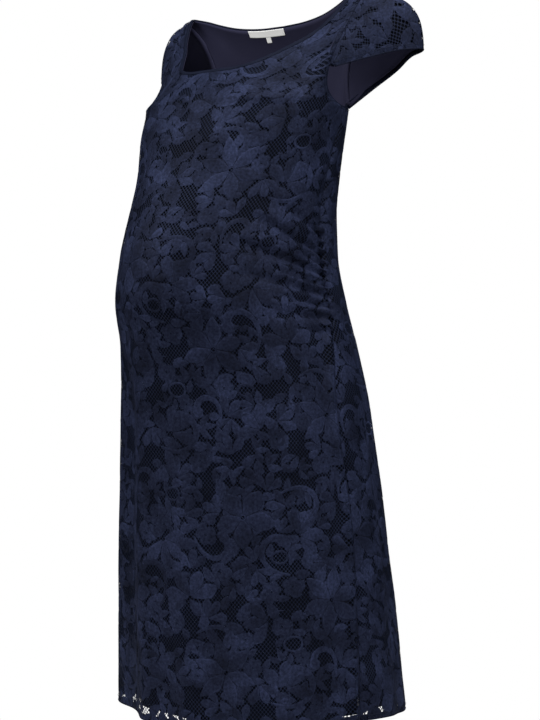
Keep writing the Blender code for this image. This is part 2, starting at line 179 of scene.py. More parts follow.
MILLIMETRE = 0.001
NET_WALL = 0.0004
LINING_WALL = 0.0008
LINING_DEPTH = 0.0022  # from the lace's outer face to the lining's
SEAM_GAP = 0.0003  # between front and back at the side seams
RIDGE_INSET = 0.0002  # front and back each stop this far short of the shoulder ridge
ARMHOLE_GAP = 0.0005  # between a cap sleeve and the body
LINING_SIDE_INSET = 0.0012
LINING_TOP_INSET = 0.0014
LINING_HEM_RISE = 0.021  # the lining ends this far above the lace hem
LINING_DROP = (42.0, 44.0, 0.80)  # less round one angle: it, half width, share taken off
LINING_MOST_RISE = 0.3  # share of a panel's rows
SLEEVE_LINING_RISE = 0.007

# Stretches of the skirt's rows, from the hem up: lowest height, highest, rows
SKIRT_STRETCHES = ((HEM_HEIGHT, -0.500, 96), (-0.500, -0.315, 74), (-0.315, PATCH_HEIGHT, 10))
FRONT_CELLS = 132
BACK_CELLS = 126
SEAM_ROWS = 15
ARMHOLE_ROWS = 45
FRONT_OPEN_ROWS = 20  # of those, below the sleeve on the front
BACK_OPEN_ROWS = 5
SLEEVE_ROWS = 26

LINING_ROWS = (48, 74, 42)
LINING_COLS = 66
CAP_LINING_ROWS = 14
CAP_LINING_COLS = 40
FRONT_SHOULDER_CELLS = 12
BACK_SHOULDER_CELLS = 14

# The solids that each piece stands for
LACE_NODES = {"front": "front_lace", "back": "back_lace", "left_cap": "sleeve_left_lace",
              "right_cap": "sleeve_right_lace"}
LINING_NODES = {"front": "front_lining", "back": "back_lining",
                "left_cap": "sleeve_left_lining", "right_cap": "sleeve_right_lining"}

# Where the lace's repeat starts on each panel, across from its middle and up from its hem
LACE_SHIFTS = {"front": (0.031, 0.012), "back": (0.118, 0.094), "left_cap": (0.074, -0.040),
               "right_cap": (-0.110, 0.030)}
MOTIF_REACH = 0.065  # a motif whose middle is farther than this off a panel isn't laid

# Profiles of edges in millimetres: in from the edge, and out of the cloth
HEM_PROFILE = ((-0.7, -0.4), (-0.5, 0.3), (0.2, 0.6), (0.9, 0.4), (1.3, -0.42), (7.8, -0.42),
               (8.0, -0.95), (0.2, -1.0))
NECK_PROFILE = ((-0.6, -0.9), (-0.7, 0.1), (-0.2, 0.75), (0.8, 0.95), (3.9, 0.95), (4.8, 0.35),
                (4.9, -0.2), (0.4, -1.9))
ARMHOLE_PROFILE = ((-0.5, -0.7), (-0.5, 0.2), (0.1, 0.7), (1.2, 0.8), (2.0, 0.3), (5.8, -0.42),
                   (6.0, -0.95), (0.2, -1.2))
ALLOWANCE_PROFILE = ((-7.0, -0.6), (7.0, -0.6), (7.0, -1.1), (-7.0, -1.1))
EDGE_KINDS = (
    ("skirt_hem", HEM_PROFILE, (0.0068,)),
    ("neck_edge", NECK_PROFILE, (0.0042,)),
    ("armhole_edge", ARMHOLE_PROFILE, (0.0052,)),
    ("cap_hem", HEM_PROFILE, (0.0068,)),
    ("side_seams", ALLOWANCE_PROFILE, ()),
)
ALLOWANCE_DEPTH = 0.0008
BINDING_REACH = 0.0050  # how far a strip over a seam reaches to each side of it
BINDING_WALL = 0.0005
BINDING_OVERLAP = 0.0002  # how far a binding is sunk in the lining's inner face
STRIP_FOLD = 0.25  # share of its reach at which a strip turns the seam's corner
STRIP_STEP = 0.004  # about one step along an armhole
EASED_ROWS = 7  # rows over which an armhole's ways in and out are averaged
SHOULDER_TURN = 0.016  # a strip narrows this near the shoulder ridge,
SHOULDER_KEPT = 0.1  # to this share
STITCH_PITCH = 0.0030
STITCH_LENGTH = 0.0024
STITCH_WIDTH = 0.0005
STITCH_RINGS = ((-0.5, 0.15), (-0.3, 0.9), (0.3, 0.9), (0.5, 0.15))  # place, share of radius
STITCH_LIFT = 0.0006

LABEL_SHIFT = 0.031  # from the middle of the back neck to the wearer's right
LABEL_DROP = 0.0001  # below the lining's top edge
LABEL_DEPTH = LINING_WALL + 0.0004
LABEL_WALL = 0.0006
LABEL_ROWS = 8
LABEL_COLS = 32
TAB_WIDTH = 0.008
TAB_HEIGHT = 0.008
TAB_TUCK = 0.0015  # how much of it is under the label

# Gathers at the side seams, over the bump, one row for each: height at the seam, how far it
# runs forward, how much it climbs over that, its depth and its half width
GATHERS = (
    (-0.318, 0.060, 0.038, 0.0032, 0.0040),
    (-0.331, 0.090, 0.056, 0.0058, 0.0046),
    (-0.345, 0.065, 0.034, 0.0050, 0.0038),
    (-0.357, 0.120, 0.060, 0.0076, 0.0050),
    (-0.371, 0.080, 0.032, 0.0064, 0.0040),
    (-0.384, 0.135, 0.050, 0.0082, 0.0052),
    (-0.399, 0.090, 0.026, 0.0066, 0.0042),
    (-0.412, 0.120, 0.032, 0.0074, 0.0050),
    (-0.428, 0.075, 0.016, 0.0058, 0.0042),
    (-0.442, 0.100, 0.012, 0.0056, 0.0054),
    (-0.460, 0.060, 0.002, 0.0036, 0.0052),
)
GATHER_LIFT = 0.006  # those at the wearer's right side are this much higher
GATHER_OVERRUN = 0.006  # each fades out over this far behind its seam
GATHER_BOW = 0.8  # its climb goes by this power of its length
GATHER_SPREAD = 0.6  # and it has widened by this share at its end
GATHER_RIDGE = 0.45  # share of its depth that the ridge over it stands out
GATHER_RIDGE_OFF = 1.7  # half widths from its middle to the ridge

# --- Finishes ---

WAVE_TURN = np.pi / 10  # a Wave texture of this scale has one band a metre
NET_PATCH = 0.030  # patches of tone where the lace is folded double
MOTIF_GRAIN = 0.0034  # bunches of a motif's threads
LACE_CLOUD = 0.045  # slow change of tone over the lace
# Painted light and shade across a motif: place from its middle to its rim, and share of its
# colour. Painted shade darkens the shallow groove down its middle and its edge, where it drops to
# the net, and a painted highlight lightens the raised ridge inside that edge.
MOTIF_PAINTED_RIM_LIGHT = ((0.0, 0.72), (0.05, 0.78), (0.12, 0.84), (0.62, 0.84), (0.76, 1.0),
               (0.85, 0.94), (0.92, 0.40), (1.0, 0.28))
THREAD_WIDTH = 0.0008  # the real threads are a third of this, too fine to show
RIB_WIDTH = 0.0012  # the real ribs are half of this, too fine to show
JERSEY_CLOUD = 0.060  # slow change of tone over the jersey
FOLD_GRAIN = 0.0016  # grain of the net where it is folded double
TWIST_PITCH = 0.0004
TAPE_RIB = 0.0008  # coarser than the real ribs, which are too fine to show
# Painted light: a glow on the label that keeps it white in the neck's shade
PAINTED_LABEL_GLOW = 0.35  # how strongly the label glows
PAPER_GRAINS = 90.0  # a metre

# --- The cut, before sewing ---
# Width and length, area, how it is held, what it hangs from, and
# what is sewn on. The front is cut about 50 mm longer for its gathers.

SHEETS = {
    "front_net": ((0.600, 1.108), 0.503, "gathered", ("left_cap_net", "right_cap_net"),
                  ("front_flowers", "front_leaves", "skirt_hem", "skirt_hem_stitches",
                   "neck_edge", "neck_edge_stitches", "side_seams")),
    "back_net": ((0.660, 1.040), 0.460, "hung", ("left_cap_net", "right_cap_net"),
                 ("back_flowers", "back_leaves")),
    "left_cap_net": ((0.330, 0.142), 0.0235, "hung", ("front_net", "back_net"),
                     ("left_cap_motifs", "cap_hem", "cap_hem_stitches")),
    "right_cap_net": ((0.312, 0.138), 0.0220, "hung", ("front_net", "back_net"),
                      ("right_cap_motifs",)),
    "front_jersey": ((0.590, 1.040), 0.465, "hung", ("front_net",), ()),
    "back_jersey": ((0.640, 1.020), 0.435, "hung", ("back_net",), ()),
    "left_cap_jersey": ((0.310, 0.125), 0.0190, "hung", ("left_cap_net",), ()),
    "right_cap_jersey": ((0.292, 0.121), 0.0175, "hung", ("right_cap_net",), ()),
    "bare_label": ((0.072, 0.010), None, "hung", ("back_jersey",),
                   ("folded_tab", "label_stitches")),
}

# --- The studio ---

CAMERA_AZIMUTH = 40.0
CAMERA_DISTANCE = 3.2
CAMERA_HEIGHT = -0.498
CAMERA_SLIDE = -0.0014
CAMERA_LENS = 114.4
KEY_PLACE = (-30.0, 1.0, 2.4, 1.2)  # azimuth, height, distance and size
FILL_PLACE = (82.0, 1.3, 2.2, 1.4)
TOP_PLACE = (40.0, 2.2, 1.0, 1.0)
LIGHT_AIM = (0.0, -0.03, -0.45)
FLOOR_HEIGHT = -1.25
FLOOR_RINGS = (0.001, 0.3, 0.9, 1.4)  # radii
FLOOR_SIDES = 96


def unit(vectors):
    """The same directions, each of length 1."""
    return vectors / np.linalg.norm(vectors, axis=-1, keepdims=True)


def run_along(path):
    """How far along a path each of its points is."""
    return np.concatenate(([0], np.cumsum(np.linalg.norm(np.diff(path, axis=0), axis=-1))))


def every_pair(rows, cols):
    """A grid of places, with every row's number and every column's."""
    return np.stack(np.meshgrid(rows, cols, indexing="ij"), axis=-1)


def cubic_between(t, width, values, tangent, cell):
    """The cubic from each cell's first value to its next, along the tangents at both."""
    return (
        (2 * t**3 - 3 * t**2 + 1) * values[cell]
        + (t**3 - 2 * t**2 + t) * width * tangent[cell]
        + (3 * t**2 - 2 * t**3) * values[cell + 1]
        + (t**3 - t**2) * width * tangent[cell + 1])


def smooth_table(rows, at):
    """Values of a table at given places of its first column, along a monotone cubic.

    The tangent at a row is a weighted harmonic mean of the slopes beside it, and level where
    they differ in sign.
    """
    table = np.asarray(rows, float)
    table = table[np.argsort(table[:, 0])]
    places, values = table[:, 0], table[:, 1:]
    step = np.diff(places)
    slope = np.diff(values, axis=0) / step[:, None]
    tangent = np.empty_like(values)
    before = 2 * step[1:, None] + step[:-1, None]
    after = step[1:, None] + 2 * step[:-1, None]
    same_way = slope[:-1] * slope[1:] > 0
    below = np.where(same_way, slope[:-1], 1.0)
    above = np.where(same_way, slope[1:], 1.0)
    mean = (before + after) / (before / below + after / above)
    tangent[1:-1] = np.where(same_way, mean, 0.0)
    tangent[0], tangent[-1] = slope[0], slope[-1]
    at = np.clip(np.asarray(at, float), places[0], places[-1])
    cell = np.clip(np.searchsorted(places, at) - 1, 0, len(step) - 1)
    width = step[cell][..., None]
    return cubic_between((at - places[cell])[..., None] / width, width, values, tangent, cell)


def curve_through(rows, share):
    """Points at given shares of the length of a smooth curve through the rows."""
    points = np.asarray(rows, float)
    scale = np.ptp(points, axis=0) + 1e-9
    run = np.linalg.norm(np.diff(points / scale, axis=0), axis=1)
    along = np.concatenate(([0.0], np.cumsum(run)))
    tangent = np.gradient(points, along, axis=0)
    at = np.asarray(share, float) * along[-1]
    cell = np.clip(np.searchsorted(along, at) - 1, 0, len(run) - 1)
    width = run[cell][:, None]
    return cubic_between((at - along[cell])[:, None] / width, width, points, tangent, cell)


def soft_step(t):
    """0 below 0, 1 above 1, and a smooth S between them."""
    t = np.clip(t, 0.0, 1.0)
    return t * t * (3 - 2 * t)


def bell(t):
    """1 at 0, falling away on both sides as a Gaussian."""
    return np.exp(-t * t)


def bezier(t, a, b, c, d):
    """The cubic from a to d that leaves towards b and arrives from c."""
    return (1 - t)**3 * a + 3 * t * (1 - t)**2 * b + 3 * t**2 * (1 - t) * c + t**3 * d


def ridge_height(x):
    """Height of the shoulder ridge: level at the neck, then drooping as a parabola."""
    out = np.maximum(np.abs(x) - RIDGE_FLAT_HALF, 0.0)
    return -RIDGE_SLOPE * out - RIDGE_DROOP * out**2


def turn_between(angle, other):
    """The shortest turn from one angle to another, in degrees."""
    return (angle - other + 180.0) % 360.0 - 180.0


def fold_rise(angle, height):
    """How far the skirt's folds stand out: a bell across each, growing down from its top."""
    rise = np.zeros(np.broadcast(angle, height).shape)
    for fold_angle, half_width, amount, top, full in FOLDS:
        grown = soft_step((top - height) / (top - full))
        rise = rise + amount * bell(turn_between(angle, fold_angle) / half_width) * grown
    return rise


def dress_form(angle, height):
    """Point of the form at an angle and a height.

    A ring is a superellipse whose front and back depths differ. The yoke draws each of the
    top ring's points in to the shoulder ridge along a cubic curve.
    """
    angle, height = np.broadcast_arrays(np.asarray(angle, float), np.asarray(height, float))
    half, front, back, middle, front_power, back_power, _ = np.moveaxis(
        smooth_table(RINGS, np.minimum(height, YOKE_HEIGHT)), -1, 0)
    turn = np.radians(angle)
    across, ahead = np.sin(turn), np.cos(turn)
    in_front = ahead >= 0
    power = np.where(in_front, front_power, back_power)
    depth = np.where(in_front, front, back)
    x = half * np.sign(across) * np.abs(across)**(2 / power)
    y = middle - np.sign(ahead) * depth * np.abs(ahead)**(2 / power)

    length = np.hypot(across / half, ahead / depth) + 1e-9
    rise = fold_rise(angle, height)
    x = x + rise * (across / half) / length
    y = y - rise * (ahead / depth) / length

    t = np.clip((height - YOKE_HEIGHT) / -YOKE_HEIGHT, 0.0, 1.0)
    ridge_x = x * RIDGE_HALF_WIDTH / half
    ridge_z = ridge_height(ridge_x)
    share = np.abs(ahead)
    lean_rows = np.asarray(FRONT_LEAN, float)
    from_middle = np.degrees(np.arctan2(np.abs(across), share))
    front_lean = np.interp(from_middle, lean_rows[:, 0], lean_rows[:, 1])
    lean = np.where(in_front, front_lean, BACK_LEAN * share)
    reach = np.where(in_front, -RIDGE_REACH_FRONT, RIDGE_REACH_BACK) * np.sqrt(share)
    yoke_x = x + (ridge_x - x) * soft_step(t)
    yoke_y = bezier(t, y, y + lean * YOKE_RISE, reach, 0.0 * y)
    yoke_z = bezier(t, YOKE_HEIGHT, YOKE_HEIGHT + YOKE_RISE, ridge_z - RIDGE_ROUND, ridge_z)
    in_yoke = t > 0
    return np.stack([np.where(in_yoke, yoke_x, x), np.where(in_yoke, yoke_y, y),
                     np.where(in_yoke, yoke_z, height)], axis=-1)


def tilted(points):
    """The yoke raised on one side and lowered on the other, fading out below it."""
    share = soft_step(1 - points[..., 2] / TILT_HEIGHT)
    return points + np.stack([0 * share, 0 * share, SHOULDER_TILT * share * points[..., 0]],
                             axis=-1)


def hem_height(angle):
    """The hem is level but for a soft dip round one angle and a bell round another."""
    dip = HEM_DIP * np.maximum(np.cos(np.radians(angle - HEM_DIP_ANGLE)), 0.0)
    drop = HEM_DROP * bell(turn_between(angle, HEM_DROP_ANGLE) / HEM_DROP_HALF)
    return HEM_HEIGHT - dip - drop


def yoke_places(side, top, share):
    """Rows of angle and height that turn from a level row into the panel's top edge.

    A column climbs evenly in the middle of the panel and in step with the armhole at its
    sides. Its angle is a share of the side edge's, changing to the top edge's own.
    """
    start, end = side[0], side[-1]
    even = np.linspace(0, 1, len(side))[:, None]
    beside = ((side[:, 1] - start[1]) / (end[1] - start[1]))[:, None]
    lean = np.abs(share)
    gentle = start[0] + (end[0] - start[0]) * even
    climb = even + (beside - even) * lean**SIDE_PULL
    height = start[1] + climb * (top[:, 1] - start[1])
    part = share + (top[:, 0] / end[0] - share) * climb
    return np.stack([(gentle + (side[:, :1] - gentle) * lean) * part, height], axis=-1)


def armhole_edge(rows, stop, lower_rows):
    """Places along an armhole from underarm to shoulder, with one exactly at a height."""
    share = np.linspace(0, 1, EDGE_SAMPLES)
    stop_share = np.interp(stop, curve_through(rows, share)[:, 1], share)
    lower = np.linspace(0, stop_share, lower_rows + 1)
    upper = np.linspace(stop_share, 1, ARMHOLE_ROWS - lower_rows + 1)
    return curve_through(rows, np.concatenate((lower, upper[1:])))


def panel_places(neck, edge, cells, shoulder_cells, is_front):
    """Angle and height of a panel's points, hem row first, left to right seen from outside."""
    # Places counted from the panel's own middle
    def from_middle(places):
        return places if is_front else np.array((180.0, 0.0)) + places * (-1, 1)

    # Places beside the side seam, half its gap short of it
    def seam_places(heights):
        gap = np.degrees(0.5 * SEAM_GAP / smooth_table(RINGS, heights)[:, 0])
        seam = np.stack([smooth_table(RINGS, heights)[:, -1], heights], axis=-1)
        return from_middle(seam) - np.stack([gap, 0 * gap], axis=-1)

    share = np.linspace(-1, 1, cells + 1)
    heights = np.concatenate([np.linspace(low, high, rows, endpoint=False)
                              for low, high, rows in SKIRT_STRETCHES] + [[PATCH_HEIGHT]])
    skirt_side = seam_places(heights)
    skirt = np.stack(np.broadcast_arrays(skirt_side[:, :1] * share, skirt_side[:, 1:]), axis=-1)

    seam = seam_places(np.linspace(PATCH_HEIGHT, UNDERARM_HEIGHT, SEAM_ROWS + 1)[:-1])
    edge = from_middle(edge)
    edge[0] = seam_places(np.array([UNDERARM_HEIGHT]))[0]
    neck_share = np.linspace(0, 1, cells // 2 - shoulder_cells + 1)
    neck_half = curve_through(from_middle(np.array(neck)), neck_share)
    shoulder = np.linspace(edge[-1], neck_half[0], shoulder_cells + 1)
    half_top = np.concatenate((shoulder[:-1], neck_half))
    top = np.concatenate((half_top[:-1] * (-1, 1), half_top[::-1]))
    yoke = yoke_places(np.concatenate((seam, edge)), top, share)
    places = np.concatenate((skirt, yoke[1:]))
    return (places[..., 0] if is_front else 180.0 + places[..., 0]), places[..., 1]


def normals_of(grid):
    """Unit normals of a grid of points, from its central differences."""
    return unit(np.cross(np.gradient(grid, axis=1), np.gradient(grid, axis=0)))


def gather_rise(angle, height):
    """Troughs that fan forward and up from each side seam, deepest at the seam.

    Across, each is a bell with a lower, opposite bell over it as its ridge. Its middle climbs
    by a power of its length, it widens evenly, and it fades out in a smooth S at both ends.
    """
    half, seam = smooth_table(RINGS, height)[..., 0], smooth_table(RINGS, height)[..., -1]
    rise = np.zeros(np.shape(height))
    for mirror, lift in ((1.0, 0.0), (-1.0, GATHER_LIFT)):
        ahead = np.radians(seam - mirror * turn_between(angle, 0.0)) * half
        for start, length, climb, depth, width in GATHERS:
            share = np.clip(ahead / length, 0.0, 1.0)
            middle = start + lift + climb * share**GATHER_BOW
            spread = width * (1 + GATHER_SPREAD * share)
            fade = soft_step(1 - ahead / length) * soft_step(1 + ahead / GATHER_OVERRUN)
            rise = rise - depth * bell((height - middle) / spread) * fade
            ridge = bell((height - middle - GATHER_RIDGE_OFF * spread) / spread)
            rise = rise + GATHER_RIDGE * depth * ridge * fade
    return rise


def uneven_rise(angle, height):
    """A slight unevenness of hanging cloth: the sum of slow slanting sine waves."""
    rise = 0.0
    for amount, turns, climb, start in UNEVEN_WAVES:
        rise = rise + amount * np.sin(turns * np.radians(angle) + climb * height + start)
    return rise


class Cloth:
    """A panel as laid: its points, their normals and their places on the flat cut."""

    def __init__(self, smooth, rise=0.0, tilt=True, flat=None):
        self.level = smooth + np.asarray(rise)[..., None] * normals_of(smooth)
        self.points = tilted(self.level) if tilt else self.level
        self.normals = normals_of(self.points)
        self.flat = lengths_along(smooth) if flat is None else flat


def lengths_along(points):
    """Flat places of a small panel: lengths along its rows from the middle column, and along
    its columns from the lower edge."""
    up = np.linalg.norm(np.diff(points, axis=0), axis=-1)
    across = np.linalg.norm(np.diff(points, axis=1), axis=-1)
    u = np.concatenate((np.zeros_like(across[:, :1]), np.cumsum(across, axis=1)), axis=1)
    v = np.concatenate((np.zeros_like(up[:1]), np.cumsum(up, axis=0)))
    middle = points.shape[1] // 2
    return np.stack([u - u[:, middle:middle + 1], v], axis=-1)


def laid_flat(points):
    """Flat places of a small rounded panel, its angles kept as nearly as they can be.

    Each triangle of a coarse grid asks that its corners, as complex numbers z, lie flat as
    they lie on the cloth: the sum of w times z is 0, w being the side across from each
    corner. Two corners are pinned, and least squares finds the rest. The whole is then
    drawn to the panel's own area, and read from the coarse grid.
    """
    rows, cols = LAID_ROWS, LAID_COLS
    last_row, last_col = points.shape[0] - 1, points.shape[1] - 1
    places = every_pair(np.linspace(0, last_row, rows), np.linspace(0, last_col, cols))
    coarse = at_places(points, places).reshape(-1, 3)
    quads = grid_faces(rows, cols)
    corners = np.concatenate((quads[:, [0, 1, 2]], quads[:, [0, 2, 3]]))
    a, b, c = np.moveaxis(coarse[corners], 1, 0)
    length = np.linalg.norm(b - a, axis=1) + 1e-9
    ahead = (b - a) / length[:, None]
    out = np.cross(b - a, c - a)
    area = np.linalg.norm(out, axis=1) + 1e-9
    side = np.cross(out / area[:, None], ahead)
    third = ((c - a) * ahead).sum(axis=1) + 1j * ((c - a) * side).sum(axis=1)
    weights = np.stack([third - length, -third, length + 0j], axis=1) / np.sqrt(area)[:, None]
    asked = np.zeros((len(corners), len(coarse)), complex)
    asked[np.arange(len(corners))[:, None], corners] = weights
    pins = [cols * (rows // 2) + cols // 4, cols * (rows // 2) + 3 * cols // 4]
    free = np.setdiff1d(np.arange(len(coarse)), pins)
    flat = np.zeros(len(coarse), complex)
    flat[pins] = 0.0, np.linalg.norm(coarse[pins[1]] - coarse[pins[0]])
    flat[free] = np.linalg.lstsq(asked[:, free], -asked[:, pins] @ flat[pins], rcond=None)[0]
    u, v = np.moveaxis(np.stack([flat.real, flat.imag], axis=-1)[corners], -1, 0)
    laid_area = np.abs((u[:, 1] - u[:, 0]) * (v[:, 2] - v[:, 0])
                       - (u[:, 2] - u[:, 0]) * (v[:, 1] - v[:, 0])).sum()
    flat = flat * np.sqrt(area.sum() / laid_area)
    grid = np.stack([flat.real, flat.imag], axis=-1).reshape(rows, cols, 2)
    return at_places(grid, every_pair(np.linspace(0, rows - 1, last_row + 1),
                                      np.linspace(0, cols - 1, last_col + 1)))


def flat_on_form(angle, height, middle):
    """Flat places of points of the form: the length along its level line from the panel's
    middle angle, and the length up its line of equal angle from the hem."""
    angles = middle + np.linspace(-FLAT_REACH, FLAT_REACH, FLAT_ANGLES)
    heights = np.linspace(HEM_HEIGHT, 0, FLAT_HEIGHTS)
    flat = lengths_along(dress_form(angles, heights[:, None]))
    col = (angle - angles[0]) / (angles[1] - angles[0])
    row = (height - heights[0]) / (heights[1] - heights[0])
    return at_places(flat, np.stack([row, col], axis=-1))


def body_panel(neck, edge, cells, shoulder_cells, is_front):
    """A lace panel of the body, with its gathers and slight unevenness."""
    angle, height = panel_places(neck, edge, cells, shoulder_cells, is_front)
    hem_share = np.clip((PATCH_HEIGHT - height) / (PATCH_HEIGHT - HEM_HEIGHT), 0, 1)
    smooth = dress_form(angle, height + hem_share * (hem_height(angle) - HEM_HEIGHT))
    short_of_ridge = -RIDGE_INSET if is_front else RIDGE_INSET
    at_ridge = np.abs(smooth[..., 1]) < RIDGE_INSET
    smooth[..., 1] = np.where(at_ridge, short_of_ridge, smooth[..., 1])
    rise = gather_rise(angle, height) + uneven_rise(angle, height)
    edge_fade = soft_step((1 - np.abs(np.linspace(-1, 1, cells + 1))) * SEAM_DIP_PARTS)
    flat = flat_on_form(angle, height, 0.0 if is_front else 180.0)
    if is_front:
        u = flat[..., 0]
        from_seam = np.minimum(u - u[:, :1], u[:, -1:] - u)
        grown = soft_step((SEAM_FOLD_TOP - height) / SEAM_FOLD_GROWTH)
        rise = rise + SEAM_FOLD * grown * bell((from_seam - SEAM_FOLD_OFF) / SEAM_FOLD_HALF)
    return Cloth(smooth, rise - SEAM_DEPTH * (1 - edge_fade), flat=flat)


def sleeve_panel(front, back):
    """The wearer's left cap sleeve, its hem row first, from the front notch round to the back.

    Its columns start at the panels' own armhole points. Each runs level off the shoulder,
    then rounds over and hangs to the sleeve's hem, along a cubic curve.
    """
    first_front = len(front) - 1 - (ARMHOLE_ROWS - FRONT_OPEN_ROWS)
    first_back = len(back) - 1 - (ARMHOLE_ROWS - BACK_OPEN_ROWS)
    seam = np.concatenate((front[first_front:-1, -1], back[first_back:, 0][::-1]))
    hem = curve_through(SLEEVE_HEM, np.linspace(0, 1, len(seam)))
    reach = hem - seam
    seam = seam + ARMHOLE_GAP * reach / np.linalg.norm(reach, axis=1, keepdims=True)
    reach = hem - seam
    level = reach * (1, 1, 0)
    drop = reach * (0, 0, 1)
    t = np.linspace(1, 0, SLEEVE_ROWS + 1)[:, None, None]
    return bezier(t, seam, seam + SLEEVE_FLAT * level, hem - SLEEVE_DROP * drop, hem)


def mirrored(grid):
    """The same grid for the wearer's other side, its columns turned to keep it facing out."""
    return (grid * (-1, 1, 1))[:, ::-1]


# --- The lace's pattern, laid out flat ---

REPEAT = np.array((0.300, 0.330))  # across and up; each row of repeats is moved half across

# Star flowers of one repeat: across, up, radius, turn in degrees, petals, how pointed
STAR_FLOWERS = (
    (0.058, 0.062, 0.046, 12.0, 6, 1.0),
    (0.206, 0.150, 0.044, 50.0, 6, 0.8),
    (0.086, 0.262, 0.041, -16.0, 5, 0.6),
)
# Flowers seen from the side: foot across and up, reach, heading in degrees, petals, spread
SIDE_FLOWERS = (
    (0.136, 0.040, 0.038, 62.0, 4, 196.0),
    (0.012, 0.158, 0.040, 96.0, 4, 204.0),
    (0.262, 0.044, 0.036, 140.0, 3, 150.0),
    (0.160, 0.236, 0.038, 28.0, 4, 200.0),
    (0.268, 0.232, 0.040, -58.0, 4, 190.0),
    (0.118, 0.128, 0.033, 186.0, 3, 148.0),
)
# Scrolls: across, up, heading in degrees, length, curl in degrees to the left, half width
SCROLLS = (
    (0.118, 0.022, -20.0, 0.120, 265.0, 0.0062),
    (0.018, 0.112, 30.0, 0.110, -272.0, 0.0060),
    (0.148, 0.186, 172.0, 0.104, -262.0, 0.0058),
    (0.262, 0.146, 62.0, 0.112, 270.0, 0.0064),
    (0.136, 0.292, 24.0, 0.104, -262.0, 0.0058),
    (0.204, 0.046, 66.0, 0.088, 280.0, 0.0054),
    (0.018, 0.238, -70.0, 0.094, 262.0, 0.0056),
    (0.222, 0.286, 100.0, 0.080, -270.0, 0.0052),
)
# Rings with net inside: across, up, radius
EYES = ((0.148, 0.098, 0.0105), (0.246, 0.096, 0.0085), (0.132, 0.208, 0.0090),
        (0.284, 0.292, 0.0095))
# Patches left open to the net: across, up, radius, turn in degrees
OPEN_PATCHES = (
    (0.114, 0.094, 0.0150, 60.0), (0.012, 0.126, 0.0150, 110.0), (0.152, 0.146, 0.0160, 30.0),
    (0.124, 0.236, 0.0150, -50.0), (0.254, 0.202, 0.0170, 84.0), (0.282, 0.096, 0.0150, 20.0),
    (0.040, 0.214, 0.0140, 70.0), (0.184, 0.084, 0.0160, -70.0), (0.214, 0.246, 0.0150, 45.0),
    (0.104, 0.012, 0.0140, 15.0), (0.166, 0.306, 0.0150, -20.0), (0.244, 0.316, 0.0145, 80.0),
    (0.012, 0.022, 0.0135, -60.0), (0.036, 0.304, 0.0140, 95.0), (0.148, 0.194, 0.0120, 10.0),
    (0.236, 0.012, 0.0130, 55.0), (0.290, 0.166, 0.0130, -35.0), (0.072, 0.146, 0.0135, 75.0),
)
OPEN_LONG = 1.45  # a patch's length and width over its radius
OPEN_WIDE = 0.68
ROOM_STEP = 0.0030  # raster on which the emptiest place is looked for
FLORET_ROOM = 0.0092  # a floret or a spray goes where there is this much room
LEAF_ROOM = 0.0043  # and a leaf where there is this much
FLORET_RADIUS = 0.0165
OPEN_RIM = 0.0022  # how far pieces reach into an open patch
MOST_ROOM = 0.0125  # a piece is never made for more room than this
MOST_PIECES = 320
FILL_SEED = 11

# Across a motif: place from edge to edge, share of its height over the net
PETAL_PROFILE = ((-1.0, -0.3), (-0.88, 0.8), (-0.42, 1.0), (0.0, 0.8), (0.42, 1.0),
                 (0.88, 0.8), (1.0, -0.3))
BAND_PROFILE = ((-1.0, -0.3), (-0.70, 1.0), (0.0, 0.8), (0.70, 1.0), (1.0, -0.3))
LEAF_PROFILE = ((-1.0, -0.3), (-0.70, 0.9), (0.0, 0.7), (0.70, 0.9), (1.0, -0.3))
CORD_PROFILE = ((-1.0, -0.3), (0.0, 1.0), (1.0, -0.3))

# Outlines, in shares of the motif's own size. A pair gives a round petal's value, and what a
# fully pointed one has on top of it.
PETAL_UNEVEN = 0.07  # by how much the petals of a flower differ in length
PETAL_SWAY = 0.06  # how far a petal's tip leans aside
PETAL_NEXT = (1.7, 2.4, 1.9)  # radians from petal to petal: of length, lean and edge wave
PETAL_HALF = (0.45, -0.14)
PETAL_SECTOR = 66.0  # degrees of a petal that has this half width,
PETAL_MOST = 1.15  # and the most that a wider one has of it
PETAL_FILL = 1.02  # share of its sector that a petal fills
PETAL_BLUNT = (4.0, -1.4)  # powers of the curve to its tip
PETAL_TIP = (0.62, 0.34)
PETAL_WAVE = (0.11, 21)  # share of the half width, and radians from foot to tip
LEAST_HALF = 0.0005  # half width, in metres
EYE_BULGE = (0.22, 0.16)  # once and twice round
FLORET_EDGE = (0.70, 0.24)  # between its lobes, and how much further the lobes go
FLORET_LEAN = (0.13, 0.09)  # once and twice round
FLORET_RAY = (0.06, 0.47)  # where a ray starts, and half its length
BLUNT_END = 0.08  # share of the half width left at an end
SCROLL_CURL = 1.7  # power by which it turns ever faster
SCROLL_TAIL = (0.20, 0.80, 0.7)  # width at its tail, how much it gains, and by what power
SCROLL_HEAD = (0.55, 0.90, 0.08)  # how much fuller its head is, where, and over what length
SCROLL_RIPPLE = (0.10, 44)
SCROLL_END = (0.9, 0.1)  # where its round end starts, and its length
SCROLL_LEAST = 0.0004  # half width, in metres
LEAF_BEND = (0.5, 3)  # how far it bends, and how often as its direction turns
LEAF_TEETH = 0.11
LEAF_CURVE = (0.75, 0.7)  # powers that round its foot and draw out its tip

# The middle of a star flower, in shares of its radius: its ring, its dots and their cord
STAR_MIDDLE = (0.085, 0.16, 0.022)
STAR_DOTS = 10
# The calyx of a flower seen from the side: how far back it starts and its length, in shares of
# the flower's reach, the two turns of its start and its heading, and its half width
CALYX = (0.75, 0.8, 24, 10, 0.0012)
RING_HALF = 0.0016
